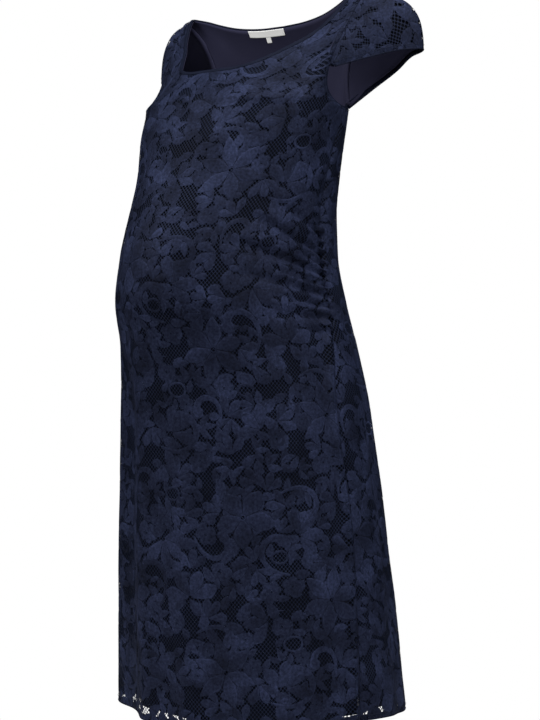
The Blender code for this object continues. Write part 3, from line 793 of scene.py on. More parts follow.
# What fills the gaps, in shares of the room: a floret's radius; a side spray's start and
# reach; a leaf spray's start, length and half width; how far off a single leaf looks for
# room; its own share of length and that of the room found; its half width; what it clears
FLORET_SIZE = 1.35
SIDE_SPRAY = (0.95, 2.15)
LEAF_SPRAY = (0.90, 1.75, 0.40)
SPRAY_TURNS = (-58, -6, 44)  # degrees
LEAF_LOOK = 1.6
LEAF_LENGTH = (1.30, 0.80)
LEAF_HALF = 1.05
CLEARED = 0.8
LEAF_TRIES = 12
PATCH_PLACES = 7
# Steps along each outline
STAR_STEPS, SIDE_STEPS, CORD_STEPS, SCROLL_STEPS, FLORET_STEPS, LEAF_STEPS = 14, 13, 13, 27, 31, 10


def rounded_share(steps):
    """Shares from 0 to 1 that crowd together at both ends, so that round tips stay round."""
    return 0.5 * (1 - np.cos(np.pi * np.linspace(0, 1, steps)))


def heading(angle):
    """The direction at an angle: its cosine across and its sine up."""
    return np.stack([np.cos(angle), np.sin(angle)], axis=-1)


class Motifs:
    """Motifs of one kind, each a grid of flat places: steps along it, then a profile across."""

    def __init__(self, profile, level):
        self.profile = np.array(profile)
        self.level = level
        self.grids = []

    def add(self, grid):
        self.grids.append(grid.reshape(-1, *grid.shape[-3:]))

    def add_blade(self, axis, half):
        """A blade of cloth: its axis, moved sideways by its half width across the profile."""
        along = np.gradient(axis, axis=-2)
        along /= np.linalg.norm(along, axis=-1, keepdims=True) + 1e-12
        side = np.stack([along[..., 1], -along[..., 0]], axis=-1)
        off = np.broadcast_to(half, axis.shape[:-1])[..., None] * self.profile[:, 0]
        self.add(axis[..., None, :] + off[..., None] * side[..., None, :])

    def places(self):
        return np.concatenate(self.grids)

    def outline(self):
        """Places down the middle and both edges, for measuring room."""
        return self.places()[:, ::2, [0, len(self.profile) // 2, -1]].reshape(-1, 2)


def petals(centre, radius, turn, count, spread, steps, inner, pointed):
    """Axes and half widths of a flower's petals.

    The petals stand evenly over the spread. Each one fills its sector from an inner share of
    the radius, so that neighbours touch, then narrows to its tip along a power curve: a blunt
    one for round petals and a sharp one for pointed petals, with a soft wave on its edge.
    """
    def pointed_by(pair):
        return pair[0] + pair[1] * pointed

    s = rounded_share(steps)
    number = np.arange(count)[:, None]
    sector = spread / count
    length_turn, sway_turn, wave_turn = PETAL_NEXT
    out = np.radians(turn + sector * (number - 0.5 * (count - 1)))
    uneven = 1 + PETAL_UNEVEN * np.cos(length_turn * number + turn)
    reach = radius * (inner + (1 - inner) * s) * uneven
    sway = PETAL_SWAY * radius * np.sin(sway_turn * number + turn) * s**2
    axis = (np.array(centre) + reach[..., None] * heading(out)
            + sway[..., None] * heading(out + np.pi / 2))
    widest = radius * pointed_by(PETAL_HALF) * min(sector / PETAL_SECTOR, PETAL_MOST)
    filled = np.minimum(PETAL_FILL * np.tan(np.radians(0.5 * sector)) * reach, widest)
    tip = (1 - s**pointed_by(PETAL_BLUNT))**pointed_by(PETAL_TIP)
    wave = 1 + PETAL_WAVE[0] * np.sin(PETAL_WAVE[1] * s + wave_turn * number) * s
    return axis, np.maximum(filled * tip * wave, LEAST_HALF)


def ring(centre, radius, steps):
    """The axis of a circle, once round."""
    return np.array(centre) + radius * heading(np.linspace(0, 2 * np.pi, steps))


def oval(centre, radius, steps):
    """The axis of a slanting egg, once round: a circle with one and two waves on it."""
    around = np.linspace(0, 2 * np.pi, steps)
    share = (1 + EYE_BULGE[0] * np.cos(around + 90 * centre[0])
             + EYE_BULGE[1] * np.cos(2 * around))
    return np.array(centre) + radius * share[:, None] * heading(around)


def disc(centre, radius, steps):
    """A small round dot: its axis is a diameter and its half width a half circle."""
    s = rounded_share(steps)
    axis = np.array(centre)[..., None, :] + radius * np.stack([2 * s - 1, 0 * s], axis=-1)
    return axis, radius * np.maximum(np.sqrt(1 - (2 * s - 1)**2), BLUNT_END)


def floret(centre, radius, turn, lobes, steps, profile):
    """A small flower of joined petals: rays run once round, from its middle to an edge
    whose distance swells at each lobe as the root of a half wave, more so on one side."""
    around = np.linspace(0, 2 * np.pi, steps)
    edge = FLORET_EDGE[0] + FLORET_EDGE[1] * np.sqrt(np.abs(np.sin(0.5 * lobes * around)))
    edge = (edge + FLORET_LEAN[0] * np.cos(around - lobes)
            + FLORET_LEAN[1] * np.cos(2 * around + 3 * turn))
    share = FLORET_RAY[0] + FLORET_RAY[1] * (profile[:, 0] + 1)
    ray = heading(around + turn)[:, None]
    return np.array(centre) + (radius * edge[:, None] * share)[..., None] * ray


def scroll(start, first_heading, length, curl, half, steps):
    """A scroll: its heading turns ever faster, its tail tapers and its curled head is full.

    Its width gains by a power from the tail, with a bell at the head, a ripple all along and
    a round end.
    """
    s = np.linspace(0, 1, steps)
    turn = np.radians(first_heading) + np.radians(curl) * s**SCROLL_CURL
    step = heading(0.5 * (turn[1:] + turn[:-1])) * length / (steps - 1)
    axis = np.array(start) + np.concatenate((np.zeros((1, 2)), np.cumsum(step, axis=0)))
    tail, gain, power = SCROLL_TAIL
    fuller, place, over = SCROLL_HEAD
    width = half * (tail + gain * s**power + fuller * bell((s - place) / over))
    width = width * (1 + SCROLL_RIPPLE[0] * np.sin(SCROLL_RIPPLE[1] * s))
    past_end = ((s - SCROLL_END[0]) / SCROLL_END[1])**2 * (s > SCROLL_END[0])
    return axis, np.maximum(width * np.sqrt(np.clip(1 - past_end, 0, 1)), SCROLL_LEAST)


def leaf(foot, direction, length, half, steps):
    """A leaf, round at its foot and pointed at its tip: its axis is bent along a parabola, and
    its edge is half a sine wave, with teeth from step to step."""
    s = np.linspace(0, 1, steps)
    bend = LEAF_BEND[0] * length * (s - s**2) * np.sin(LEAF_BEND[1] * direction)
    axis = (np.array(foot) + s[:, None] * length * heading(direction)
            + bend[:, None] * heading(direction + np.pi / 2))
    teeth = 1 + LEAF_TEETH * np.cos(np.pi * (steps - 1) * s)
    swell = np.sin(np.pi * s**LEAF_CURVE[0])**LEAF_CURVE[1]
    return axis, half * np.maximum(teeth * swell, BLUNT_END)


def room_between(places, points):
    """Distance from each place to the nearest of some points, over all repeats."""
    off = places[:, None] - points
    rows_up = np.round(off[..., 1] / REPEAT[1])
    off = off - rows_up[..., None] * (0.5 * REPEAT[0], REPEAT[1])
    off[..., 0] -= np.round(off[..., 0] / REPEAT[0]) * REPEAT[0]
    return np.linalg.norm(off, axis=-1).min(axis=1)


def place_by_hand(stars, sides, scrolls, cords):
    """Lays the flowers, scrolls and rings of the tables. A star flower has a ring and dots in
    its middle, and a flower seen from the side has a calyx."""
    ring_share, dots_share, cord_share = STAR_MIDDLE
    for across, up, radius, turn, count, pointed in STAR_FLOWERS:
        centre = np.array((across, up))
        stars.add_blade(*petals(centre, radius, turn, count, 360, STAR_STEPS, 0.10, pointed))
        cords.add_blade(ring(centre, ring_share * radius, CORD_STEPS), cord_share * radius)
        turns = np.arange(STAR_DOTS) * 2 * np.pi / STAR_DOTS
        for dot in centre + dots_share * radius * heading(turns):
            cords.add_blade(*(x[None] for x in disc(dot, cord_share * radius, CORD_STEPS)))
    back, length, start_turn, leaf_turn, half = CALYX
    for across, up, reach, turn, count, spread in SIDE_FLOWERS:
        sides.add_blade(*petals((across, up), reach, turn, count, spread, SIDE_STEPS, 0.08, 0.25))
        foot = np.array((across, up)) - back * reach * heading(np.radians(turn + start_turn))
        cords.add_blade(*leaf(foot, np.radians(turn + leaf_turn), length * reach, half,
                              CORD_STEPS))
    for across, up, first_heading, length, curl, half in SCROLLS:
        scrolls.add_blade(*scroll((across, up), first_heading, length, curl, half, SCROLL_STEPS))
    for across, up, radius in EYES:
        scrolls.add_blade(oval((across, up), radius, SCROLL_STEPS), RING_HALF)


def room_at(raster, placed):
    """How far each place is from the nearest motif laid, or from the rim of a patch left open
    if that is nearer. There is no room inside the patches and the rings."""
    room = room_between(raster, np.concatenate([motifs.outline() for motifs in placed]))
    for across, up, radius, turn in OPEN_PATCHES:
        axis = heading(np.radians(turn)) * (OPEN_LONG - OPEN_WIDE) * radius
        kept_open = np.array((across, up)) + np.linspace(-1, 1, PATCH_PLACES)[:, None] * axis
        off = room_between(raster, kept_open) - OPEN_WIDE * radius
        room = np.where(off < 0, 0.0, np.minimum(room, off + OPEN_RIM))
    room[room_between(raster, np.array(EYES)[:, :2]) < EYES[0][2]] = 0.0
    return room


def newest_piece(number, place, free, turn, room_ahead, sides, florets, leaves):
    """Lays one piece in the free room at a place, and gives back its grids: in large room a
    floret, a side spray or a leaf spray by its number, and else a leaf towards most room."""
    if free > FLORET_ROOM and number % 4 == 1:
        radius = min(FLORET_SIZE * free, FLORET_RADIUS)
        lobes = 4 + number // 4 % 3
        florets.add(floret(place, radius, turn, lobes, FLORET_STEPS, florets.profile))
        return florets.grids[-1:]
    if free > FLORET_ROOM and number % 4 > 1:
        back, reach = SIDE_SPRAY
        foot = place - back * free * heading(turn)
        sides.add_blade(*petals(foot, reach * free, np.degrees(turn), 3, 132, SIDE_STEPS, 0.06,
                                0.0))
        return sides.grids[-1:]
    if free > FLORET_ROOM:
        back, length, half = LEAF_SPRAY
        foot = place - back * free * heading(turn)
        for aside in np.radians(SPRAY_TURNS):
            leaves.add_blade(*leaf(foot, turn + aside, length * free, half * free, LEAF_STEPS))
        return leaves.grids[-len(SPRAY_TURNS):]
    tries = np.arange(LEAF_TRIES) * np.pi / LEAF_TRIES
    look = LEAF_LOOK * free * heading(tries)
    open_way = np.minimum(room_ahead(place + look), room_ahead(place - look))
    turn = tries[np.argmax(open_way)]
    half_length = LEAF_LENGTH[0] * free + LEAF_LENGTH[1] * open_way.max()
    foot = place - half_length * heading(turn)
    leaves.add_blade(*leaf(foot, turn, 2 * half_length, LEAF_HALF * free, LEAF_STEPS))
    return leaves.grids[-1:]


def lace_repeat():
    """One repeat of the lace as motifs of each kind.

    Flowers, scrolls and rings are placed as the tables give them. Then the emptiest place, again
    and again, takes a floret or a spray while the room is large, and a leaf along its roomiest
    direction after, until the motifs nearly touch all round the patches left open.
    """
    stars, sides = Motifs(PETAL_PROFILE, 0.9), Motifs(LEAF_PROFILE, 0.6)
    florets, scrolls = Motifs(CORD_PROFILE, 0.75), Motifs(BAND_PROFILE, 0.4)
    leaves, cords = Motifs(LEAF_PROFILE, 0.0), Motifs(CORD_PROFILE, 1.6)
    place_by_hand(stars, sides, scrolls, cords)

    cells = np.round(REPEAT / ROOM_STEP).astype(int)
    raster = every_pair(np.arange(cells[0]), np.arange(cells[1])).reshape(-1, 2) * ROOM_STEP
    room = room_at(raster, (stars, sides, scrolls))

    def room_ahead(ends):
        return room[nearest_cell(ends, cells)]

    rng = np.random.default_rng(FILL_SEED)
    for number in range(MOST_PIECES):
        emptiest = np.argmax(room)
        place, free = raster[emptiest], min(room[emptiest], MOST_ROOM)
        if free < LEAF_ROOM:
            break
        turn = rng.uniform(0, 2 * np.pi)
        newest = newest_piece(number, place, free, turn, room_ahead, sides, florets, leaves)
        outline = np.concatenate([grid[..., ::2, [0, -1], :].reshape(-1, 2) for grid in newest])
        room = np.minimum(room, room_between(raster, outline))
        room[room_between(raster, place[None]) < CLEARED * free] = 0.0
    return {"flowers": (stars, sides, florets, cords), "leaves": (scrolls, leaves)}


def nearest_cell(places, cells):
    """Index of the raster cell that a place falls in, over all repeats."""
    rows_up = np.floor(places[:, 1] / REPEAT[1])
    inside = places - rows_up[:, None] * (0.5 * REPEAT[0], REPEAT[1])
    index = np.floor(inside / ROOM_STEP).astype(int) % cells
    return index[:, 0] * cells[1] + index[:, 1]


# --- From flat cloth to the form ---

NEWTON_STEPS = 12
LONGEST_STEP = 6.0  # grid cells
START_STEP = 6  # every sixth cell is tried as a start
FARTHEST_MISS = 0.002  # a point found no nearer than this counts as not found
EDGE_CELLS = 0.12  # motifs are cut off this far inside a panel's edge
SUNK_RIM = 0.00015  # a motif's rim ends this deep in the net


def at_places(grid, places):
    """Values of a grid at fractional rows and columns, carried on straight past its edges."""
    row, col = np.moveaxis(np.floor(places).astype(int), -1, 0)
    row = np.clip(row, 0, grid.shape[0] - 2)
    col = np.clip(col, 0, grid.shape[1] - 2)
    t = (places[..., 0] - row)[..., None]
    s = (places[..., 1] - col)[..., None]
    low = grid[row, col] * (1 - s) + grid[row, col + 1] * s
    high = grid[row + 1, col] * (1 - s) + grid[row + 1, col + 1] * s
    return low * (1 - t) + high * t


def find_on(flat, targets, starts):
    """Rows and columns at which a grid of flat places has the targets, by Newton's method.

    Each step solves two equations with the cell's own slopes along its rows and columns.
    """
    places = starts.copy()
    last_row, last_col = flat.shape[0] - 2, flat.shape[1] - 2
    for _ in range(NEWTON_STEPS):
        row = np.clip(np.floor(places[..., 0]).astype(int), 0, last_row)
        col = np.clip(np.floor(places[..., 1]).astype(int), 0, last_col)
        t, s = (places[..., 0] - row)[..., None], (places[..., 1] - col)[..., None]
        a, b = flat[row, col], flat[row, col + 1]
        c, d = flat[row + 1, col], flat[row + 1, col + 1]
        miss = targets - ((1 - t) * ((1 - s) * a + s * b) + t * ((1 - s) * c + s * d))
        up = (1 - s) * (c - a) + s * (d - b)
        across = (1 - t) * (b - a) + t * (d - c)
        area = up[..., 0] * across[..., 1] - up[..., 1] * across[..., 0]
        step_up = (miss[..., 0] * across[..., 1] - miss[..., 1] * across[..., 0]) / area
        step_across = (up[..., 0] * miss[..., 1] - up[..., 1] * miss[..., 0]) / area
        step = np.stack([step_up, step_across], axis=-1)
        places += np.clip(step, -LONGEST_STEP, LONGEST_STEP)
    return places, np.linalg.norm(miss, axis=-1)


def grid_faces(rows, cols):
    """Quads of a grid of points, which face out where its rows climb and its columns go right."""
    corner = np.arange(rows - 1)[:, None] * cols + np.arange(cols - 1)
    return np.stack([corner, corner + 1, corner + cols + 1, corner + cols], -1).reshape(-1, 4)


def grid_part(points, **values):
    """Points, quads and values of a grid."""
    return {"points": points, "faces": grid_faces(*points.shape[:2]), **values}


def tube_part(points, **values):
    """A tube: each row of the grid is a loop that closes on itself, and both ends are filled.

    A triangle is written as a quad whose last two corners are the same.
    """
    rows, cols = points.shape[:2]
    corner = np.arange(rows - 1)[:, None] * cols
    here, after = corner + np.arange(cols), corner + (np.arange(cols) + 1) % cols
    sides = np.stack([here, after, after + cols, here + cols], -1).reshape(-1, 4)
    k = np.arange(1, cols - 1)
    first = np.stack([0 * k, k + 1, k, k], -1)
    last = np.stack([0 * k, k, k + 1, k + 1], -1) + (rows - 1) * cols
    return {"points": points, "faces": np.concatenate((sides, first, last)), **values}


def joined(parts):
    """Several parts as one, their points in one list."""
    sizes = [part["points"].size // 3 for part in parts]
    starts = np.concatenate(([0], np.cumsum(sizes)[:-1])).astype(int)
    whole = {"faces": np.concatenate([part["faces"] + start
                                      for part, start in zip(parts, starts)])}
    for name in parts[0]:
        if name != "faces":
            width = 3 if name == "points" else 2 if name in PLACE_NAMES else 1
            whole[name] = np.concatenate([np.asarray(part[name], float).reshape(-1, width)
                                          for part in parts])
    return whole


PLACE_NAMES = ("cloth", "thread")  # values that are flat places, kept as UV maps


def make_piece(name, part, material, wall=0.0, lining_side=None):
    """A mesh object from points, faces and values, given a wall to its inside if wanted.

    A value of each point becomes an attribute, and a flat place in metres a UV map.
    """
    points = np.asarray(part["points"], float).reshape(-1, 3)
    used, faces = np.unique(part["faces"], return_inverse=True)
    faces = faces.reshape(-1, 4)
    points = points[used]
    whole = np.ones(faces.shape, bool)
    whole[:, 3] = faces[:, 3] != faces[:, 2]
    corners = faces[whole]
    starts = np.concatenate(([0], np.cumsum(whole.sum(axis=1))[:-1]))
    mesh = bpy.data.meshes.new(name)
    mesh.vertices.add(len(points))
    mesh.vertices.foreach_set("co", points.astype(np.float32).ravel())
    mesh.loops.add(len(corners))
    mesh.loops.foreach_set("vertex_index", corners.astype(np.int32))
    mesh.polygons.add(len(faces))
    mesh.polygons.foreach_set("loop_start", starts.astype(np.int32))
    mesh.update(calc_edges=True)
    for value_name, value in part.items():
        if value_name in PLACE_NAMES:
            layer = mesh.uv_layers.new(name=value_name)
            places = np.asarray(value, float).reshape(-1, 2)[used][corners]
            layer.data.foreach_set("uv", places.astype(np.float32).ravel())
        elif value_name not in ("points", "faces"):
            layer = mesh.attributes.new(value_name, "FLOAT", "POINT")
            numbers = np.asarray(value, float).reshape(-1)[used]
            layer.data.foreach_set("value", numbers.astype(np.float32))
    mesh.materials.append(material)
    if lining_side:
        mesh.materials.append(lining_side)
    piece = bpy.data.objects.new(name, mesh)
    bpy.context.scene.collection.objects.link(piece)
    if wall:
        shell = piece.modifiers.new("wall", "SOLIDIFY")
        shell.thickness = wall
        shell.offset = -1.0
        if lining_side:
            shell.material_offset = 1
            shell.material_offset_rim = 1
    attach(piece, BODY)
    return piece


# --- The panels ---

@functools.cache
def panels():
    """The lace panels by name: both body panels, then both cap sleeves."""
    front = body_panel(FRONT_NECK, armhole_edge(FRONT_ARMHOLE, SLEEVE_NOTCH, FRONT_OPEN_ROWS),
                       FRONT_CELLS, FRONT_SHOULDER_CELLS, True)
    back = body_panel(BACK_NECK, armhole_edge(BACK_ARMHOLE, SLEEVE_END, BACK_OPEN_ROWS),
                      BACK_CELLS, BACK_SHOULDER_CELLS, False)
    left = sleeve_panel(front.level, back.level)
    right = mirrored(sleeve_panel(mirrored(front.level), mirrored(back.level)))
    return {"front": front, "back": back, "left_cap": Cloth(left, flat=laid_flat(left)),
            "right_cap": Cloth(right, flat=laid_flat(right))}


def cut_at_edges(found, sure, last):
    """Motifs cut off at the edges of a grid: their new places, and which points stay outside.

    A point outside slides back towards a neighbour inside until it meets the edge.
    """
    low, high = EDGE_CELLS, last - EDGE_CELLS
    inside = sure & np.all((found >= low) & (found <= high), axis=-1)
    places, settled = found.copy(), inside.copy()
    steps, across = np.arange(found.shape[1]), np.arange(found.shape[2])
    for down, aside in ((0, 1), (0, -1), (1, 0), (-1, 0), (1, 1), (1, -1), (-1, 1), (-1, -1)):
        row = np.clip(steps + down, 0, steps[-1])[:, None]
        col = np.clip(across + aside, 0, across[-1])
        start, can = found[:, row, col], inside[:, row, col] & ~settled & sure
        way = found - start
        with np.errstate(divide="ignore", invalid="ignore"):
            share = np.where(way > 0, (high - start) / way, (low - start) / way)
        share = np.nan_to_num(np.where(way == 0, np.inf, share), posinf=1.0).min(axis=-1)
        moved = start + np.clip(share, 0, 1)[..., None] * way
        places = np.where(can[..., None], moved, places)
        settled |= can
    return np.clip(places, low, high), ~settled


def lay_lace(cloth, kinds, shift, seed, relief):
    """Motifs laid on a cloth as one part.

    Each motif's flat places are repeated over the cloth, found on its grid, and raised from
    it along its normals by the motif's profile. What falls outside the cloth is cut off.
    """
    rng = np.random.default_rng(seed)
    flat = cloth.flat
    low, high = flat.min(axis=(0, 1)) - shift, flat.max(axis=(0, 1)) - shift
    rows = np.arange(np.floor(low[1] / REPEAT[1]) - 1, np.ceil(high[1] / REPEAT[1]) + 1)
    cols = np.arange(np.floor(low[0] / REPEAT[0]) - 2, np.ceil(high[0] / REPEAT[0]) + 2)
    row, col = every_pair(rows, cols).reshape(-1, 2).T
    starts = np.stack([(col + 0.5 * (row % 2)) * REPEAT[0], row * REPEAT[1]], axis=-1) + shift
    last = np.array(flat.shape[:2]) - 1
    coarse = flat[::START_STEP, ::START_STEP]
    parts = []
    for motifs in kinds:
        places = motifs.places()
        steps, across = places.shape[1:3]
        along = np.concatenate((np.zeros(places.shape[:1] + (1,)), np.cumsum(np.linalg.norm(
            np.diff(places[:, :, across // 2], axis=1), axis=-1), axis=1)), axis=1)
        half = 0.5 * np.linalg.norm(places[:, :, -1] - places[:, :, 0], axis=-1)
        thread = np.stack(np.broadcast_arrays(
            half[..., None] * motifs.profile[:, 0], along[..., None]), axis=-1)
        targets = (places + starts[:, None, None, None]).reshape(-1, steps, across, 2)
        thread = np.broadcast_to(thread, (len(starts),) + thread.shape).reshape(targets.shape)
        centre = targets.mean(axis=(1, 2))
        gap = np.linalg.norm(centre[:, None] - coarse.reshape(-1, 2), axis=-1)
        nearest = gap.argmin(axis=1)
        near = gap.min(axis=1) < MOTIF_REACH
        begin = np.stack(np.divmod(nearest, coarse.shape[1]), axis=-1)[near] * START_STEP
        begin = np.broadcast_to(begin[:, None, None], targets[near].shape).astype(float)
        found, miss = find_on(flat, targets[near], begin)
        found, cut_off = cut_at_edges(found, miss < FARTHEST_MISS, last)
        height = (motifs.profile[:, 1] + motifs.level) * relief
        height[[0, -1]] = -SUNK_RIM
        points = at_places(cloth.points, found) + height[:, None] * at_places(cloth.normals, found)
        faces = grid_faces(steps, across) + np.arange(len(found))[:, None, None] * steps * across
        faces = faces.reshape(-1, 4)
        gone = cut_off.reshape(-1)[faces].any(axis=1)
        tone = np.broadcast_to(rng.uniform(0, 1, len(found))[:, None, None], found.shape[:-1])
        parts.append({"points": points, "faces": faces[~gone], "tone": tone,
                      "rim": np.broadcast_to(np.abs(motifs.profile[:, 0]), found.shape[:-1]),
                      "thread": thread[near]})
    return joined(parts)


def along_edge(cloth, rows, cols):
    """An edge of a cloth, which lies to the left of the way along it: its points, the way in
    from it across the cloth, and the way out of the cloth."""
    rows, cols = np.broadcast_arrays(rows, cols)
    path, out = cloth.points[rows, cols], cloth.normals[rows, cols]
    return path, unit(np.cross(out, unit(np.gradient(path, axis=0)))), out


def edge_strip(edge, profile):
    """A strip along an edge: a closed profile of millimetres in and out, carried along it."""
    path, inward, out = (x[:, None] for x in edge)
    profile = np.array(profile[::-1]) * MILLIMETRE
    points = path + profile[:, :1] * inward + profile[:, 1:] * out
    cloth = np.stack(np.broadcast_arrays(run_along(edge[0])[:, None], profile[:, 0]), axis=-1)
    return tube_part(points, cloth=cloth)


def read_along(at, run, vectors):
    """Vectors at given places of a run, each coordinate read off on straight lines."""
    return np.stack([np.interp(at, run, vectors[:, k]) for k in range(3)], axis=-1)


def stitch_row(edge, inset, lift):
    """Stitches side by side along an edge: each is a spindle of four sides and four rings."""
    path, inward, out = edge
    path = path + inset * inward + lift * out
    run = run_along(path)
    middles = np.arange(0.5 * STITCH_PITCH, run[-1], STITCH_PITCH)
    rings = np.array(STITCH_RINGS)
    centre = read_along(middles[:, None] + STITCH_LENGTH * rings[:, 0], run, path)
    side, up = (read_along(middles, run, way)[:, None, None] for way in (inward, out))
    turn = np.arange(4)[:, None] * np.pi / 2
    radius = (0.5 * STITCH_WIDTH * rings[:, 1])[:, None, None]
    points = centre[:, :, None] + radius * (np.cos(turn) * side + np.sin(turn) * up)
    one = tube_part(points[0])["faces"]
    count = points[0, ..., 0].size
    faces = (one + np.arange(len(points))[:, None, None] * count).reshape(-1, 4)
    return {"points": points, "faces": faces}


# --- Linings, edges and labels ---

def cells_in(points, distance, axis, end):
    """How many cells a distance is, at one end of the rows or columns of a grid."""
    steps = np.linalg.norm(np.diff(points, axis=axis), axis=-1)
    return distance / np.take(steps, end, axis=axis)


def lining_of(cloth, hem_rise, row_share, col_share):
    """The lining of a panel, moved in along its normals, inset at each seam and edge."""
    points = cloth.points
    last_row, last_col = points.shape[0] - 1, points.shape[1] - 1

    # One value of each column, read off at the lining's own columns
    def along_row(values):
        return np.interp(col_share * last_col, np.arange(last_col + 1), values)

    # The inset at one side, read off at the lining's own rows
    def up_side(end):
        return np.interp(row_share * last_row, np.arange(last_row + 1),
                         cells_in(points, LINING_SIDE_INSET, 1, end))

    middle, half_width, taken_off = LINING_DROP
    angle = along_row(np.degrees(np.arctan2(points[0, :, 0], -points[0, :, 1])))
    bottom = along_row(cells_in(points, hem_rise, 0, 0))
    bottom = bottom * (1 - taken_off * bell((angle - middle) / half_width))
    bottom = np.minimum(bottom, LINING_MOST_RISE * last_row)
    top = along_row(cells_in(points, LINING_TOP_INSET, 0, -1))
    left, right = up_side(0), up_side(-1)
    row = bottom + (last_row - top - bottom) * row_share[:, None]
    col = left[:, None] + (last_col - left - right)[:, None] * col_share
    places = np.stack([row, col], axis=-1)
    moved = at_places(points, places) - LINING_DEPTH * at_places(cloth.normals, places)
    return Cloth(moved, tilt=False)


@functools.cache
def linings():
    """The linings by the names of their lace panels. Their rows lie closest at the gathers."""
    cloths = panels()
    last = cloths["front"].points.shape[0] - 1
    stops = np.array([0, *np.cumsum([stretch[-1] for stretch in SKIRT_STRETCHES])[:2], last])
    stops = stops / last
    rows = np.concatenate([np.linspace(low, high, count, endpoint=False) for low, high, count
                           in zip(stops[:-1], stops[1:], LINING_ROWS)] + [[1.0]])
    body = LINING_HEM_RISE, rows, np.linspace(0, 1, LINING_COLS + 1)
    cap = (SLEEVE_LINING_RISE, np.linspace(0, 1, CAP_LINING_ROWS + 1),
           np.linspace(0, 1, CAP_LINING_COLS + 1))
    return {name: lining_of(cloth, *(cap if name.endswith("cap") else body))
            for name, cloth in cloths.items()}


@functools.cache
def edges():
    """The runs of each kind of edge. The cloth lies to the left of the way along each."""
    front, back = panels()["front"], panels()["back"]
    rows = front.points.shape[0] - 1
    underarm = rows - ARMHOLE_ROWS
    front_notch, back_end = underarm + FRONT_OPEN_ROWS, underarm + BACK_OPEN_ROWS

    def neck(cloth, cells, shoulder):
        return along_edge(cloth, rows, np.arange(cells - shoulder, shoulder - 1, -1))

    def sides(cloth, low, high):
        up = np.arange(low, high + 1)
        return [along_edge(cloth, up, -1), along_edge(cloth, up[::-1], 0)]

    def hem(cloth):
        return along_edge(cloth, 0, np.arange(cloth.points.shape[1]))

    return {
        "skirt_hem": [hem(front), hem(back)],
        "neck_edge": [neck(front, FRONT_CELLS, FRONT_SHOULDER_CELLS),
                      neck(back, BACK_CELLS, BACK_SHOULDER_CELLS)],
        "armhole_edge": sides(front, underarm, front_notch) + sides(back, underarm, back_end),
        "cap_hem": [hem(panels()["left_cap"]), hem(panels()["right_cap"])],
        "side_seams": sides(front, 0, underarm),
    }


def eased(edge):
    """The same edge, its ways in and out averaged over the nearest rows, so that they turn
    evenly round the shoulder seam."""
    path, *ways = edge
    window = np.ones(EASED_ROWS) / EASED_ROWS
    beyond = ((EASED_ROWS // 2, EASED_ROWS // 2), (0, 0))
    padded = [np.pad(way, beyond, mode="edge") for way in ways]
    return path, *(unit(np.stack([np.convolve(way[:, k], window, "valid") for k in range(3)],
                                 axis=-1)) for way in padded)


def armhole_pairs():
    """The armhole seams, once as an edge of the body and once as an edge of the cap sleeve."""
    front, back = panels()["front"], panels()["back"]
    rows = front.points.shape[0] - 1
    front_rows = np.arange(rows - ARMHOLE_ROWS + FRONT_OPEN_ROWS, rows)
    back_rows = np.arange(rows - ARMHOLE_ROWS + BACK_OPEN_ROWS, rows + 1)
    bodies = {
        "left_cap": (along_edge(front, front_rows, -1), along_edge(back, back_rows[::-1], 0)),
        "right_cap": (along_edge(back, back_rows, -1), along_edge(front, front_rows[::-1], 0)),
    }
    for name, runs in bodies.items():
        cap = panels()[name]
        body = [np.concatenate(halves) for halves in zip(*runs)]
        sleeve = along_edge(cap, -1, np.arange(cap.points.shape[1])[::-1])
        yield eased(body), eased([x[::-1] for x in sleeve])


def seam_strip(body, sleeve, reach, depth, wall):
    """A strip over a seam's inside, from one side of it round the corner to the other.

    On the body it narrows over the shoulder, where the cloth turns sharply.
    """
    near = soft_step(np.abs(body[0][:, 1]) / SHOULDER_TURN)[:, None, None]
    kept = SHOULDER_KEPT + (1 - SHOULDER_KEPT) * near
    rows = []
    for deep in (depth, depth + wall):
        across = [path[:, None] + inset * inward[:, None] - deep * out[:, None]
                  for path, inward, out, inset in (
                      (*body, kept * reach), (*body, STRIP_FOLD * kept * reach),
                      (*sleeve, STRIP_FOLD * reach), (*sleeve, reach))]
        rows.append(np.concatenate(across, axis=1))
    points = np.concatenate((rows[0], rows[1][:, ::-1]), axis=1)
    run = np.arange(len(points))[:, None] * STRIP_STEP
    cloth = np.stack(np.broadcast_arrays(run, np.arange(points.shape[1]) * reach / 2), axis=-1)
    return tube_part(points, cloth=cloth)


def label_grid(width, height, drop, depth):
    """A strip inside the back neck, its ends found by length along the lining's top edge."""
    lining = linings()["back"]
    points = lining.points
    rows, cols = points.shape[0] - 1, points.shape[1] - 1
    along = run_along(points[-1])
    middle = 0.5 * along[-1] + LABEL_SHIFT
    left, right = np.interp((middle - 0.5 * width, middle + 0.5 * width), along,
                            np.arange(cols + 1))
    row_cell = np.linalg.norm(points[-1, cols // 2] - points[-2, cols // 2])
    top = rows - drop / row_cell
    places = every_pair(np.linspace(top - height / row_cell, top, LABEL_ROWS + 1),
                        np.linspace(left, right, LABEL_COLS + 1))
    return at_places(points, places) - depth * at_places(lining.normals, places)


# --- Materials ---

def linear(code):
    """An sRGB hex colour such as #262C40 as linear red, green, blue and 1."""
    channels = np.array([int(code[k:k + 2], 16) / 255 for k in (1, 3, 5)])
    bright = np.where(channels <= 0.04045, channels / 12.92, ((channels + 0.055) / 1.055)**2.4)
    return (*bright.tolist(), 1.0)


def shade(colour, share):
    """A linear colour made darker or lighter."""
    return (*(share * np.array(colour)[:3]).tolist(), 1.0)


def add(tree, kind, inputs=None, **settings):
    """Adds a node. Each input, by name or number, is a value or the socket that feeds it."""
    node = tree.nodes.new(kind)
    for name, value in settings.items():
        setattr(node, name, value)
    for name, value in (inputs or {}).items():
        if isinstance(value, bpy.types.NodeSocket):
            tree.links.new(value, node.inputs[name])
        else:
            node.inputs[name].default_value = value
    return node


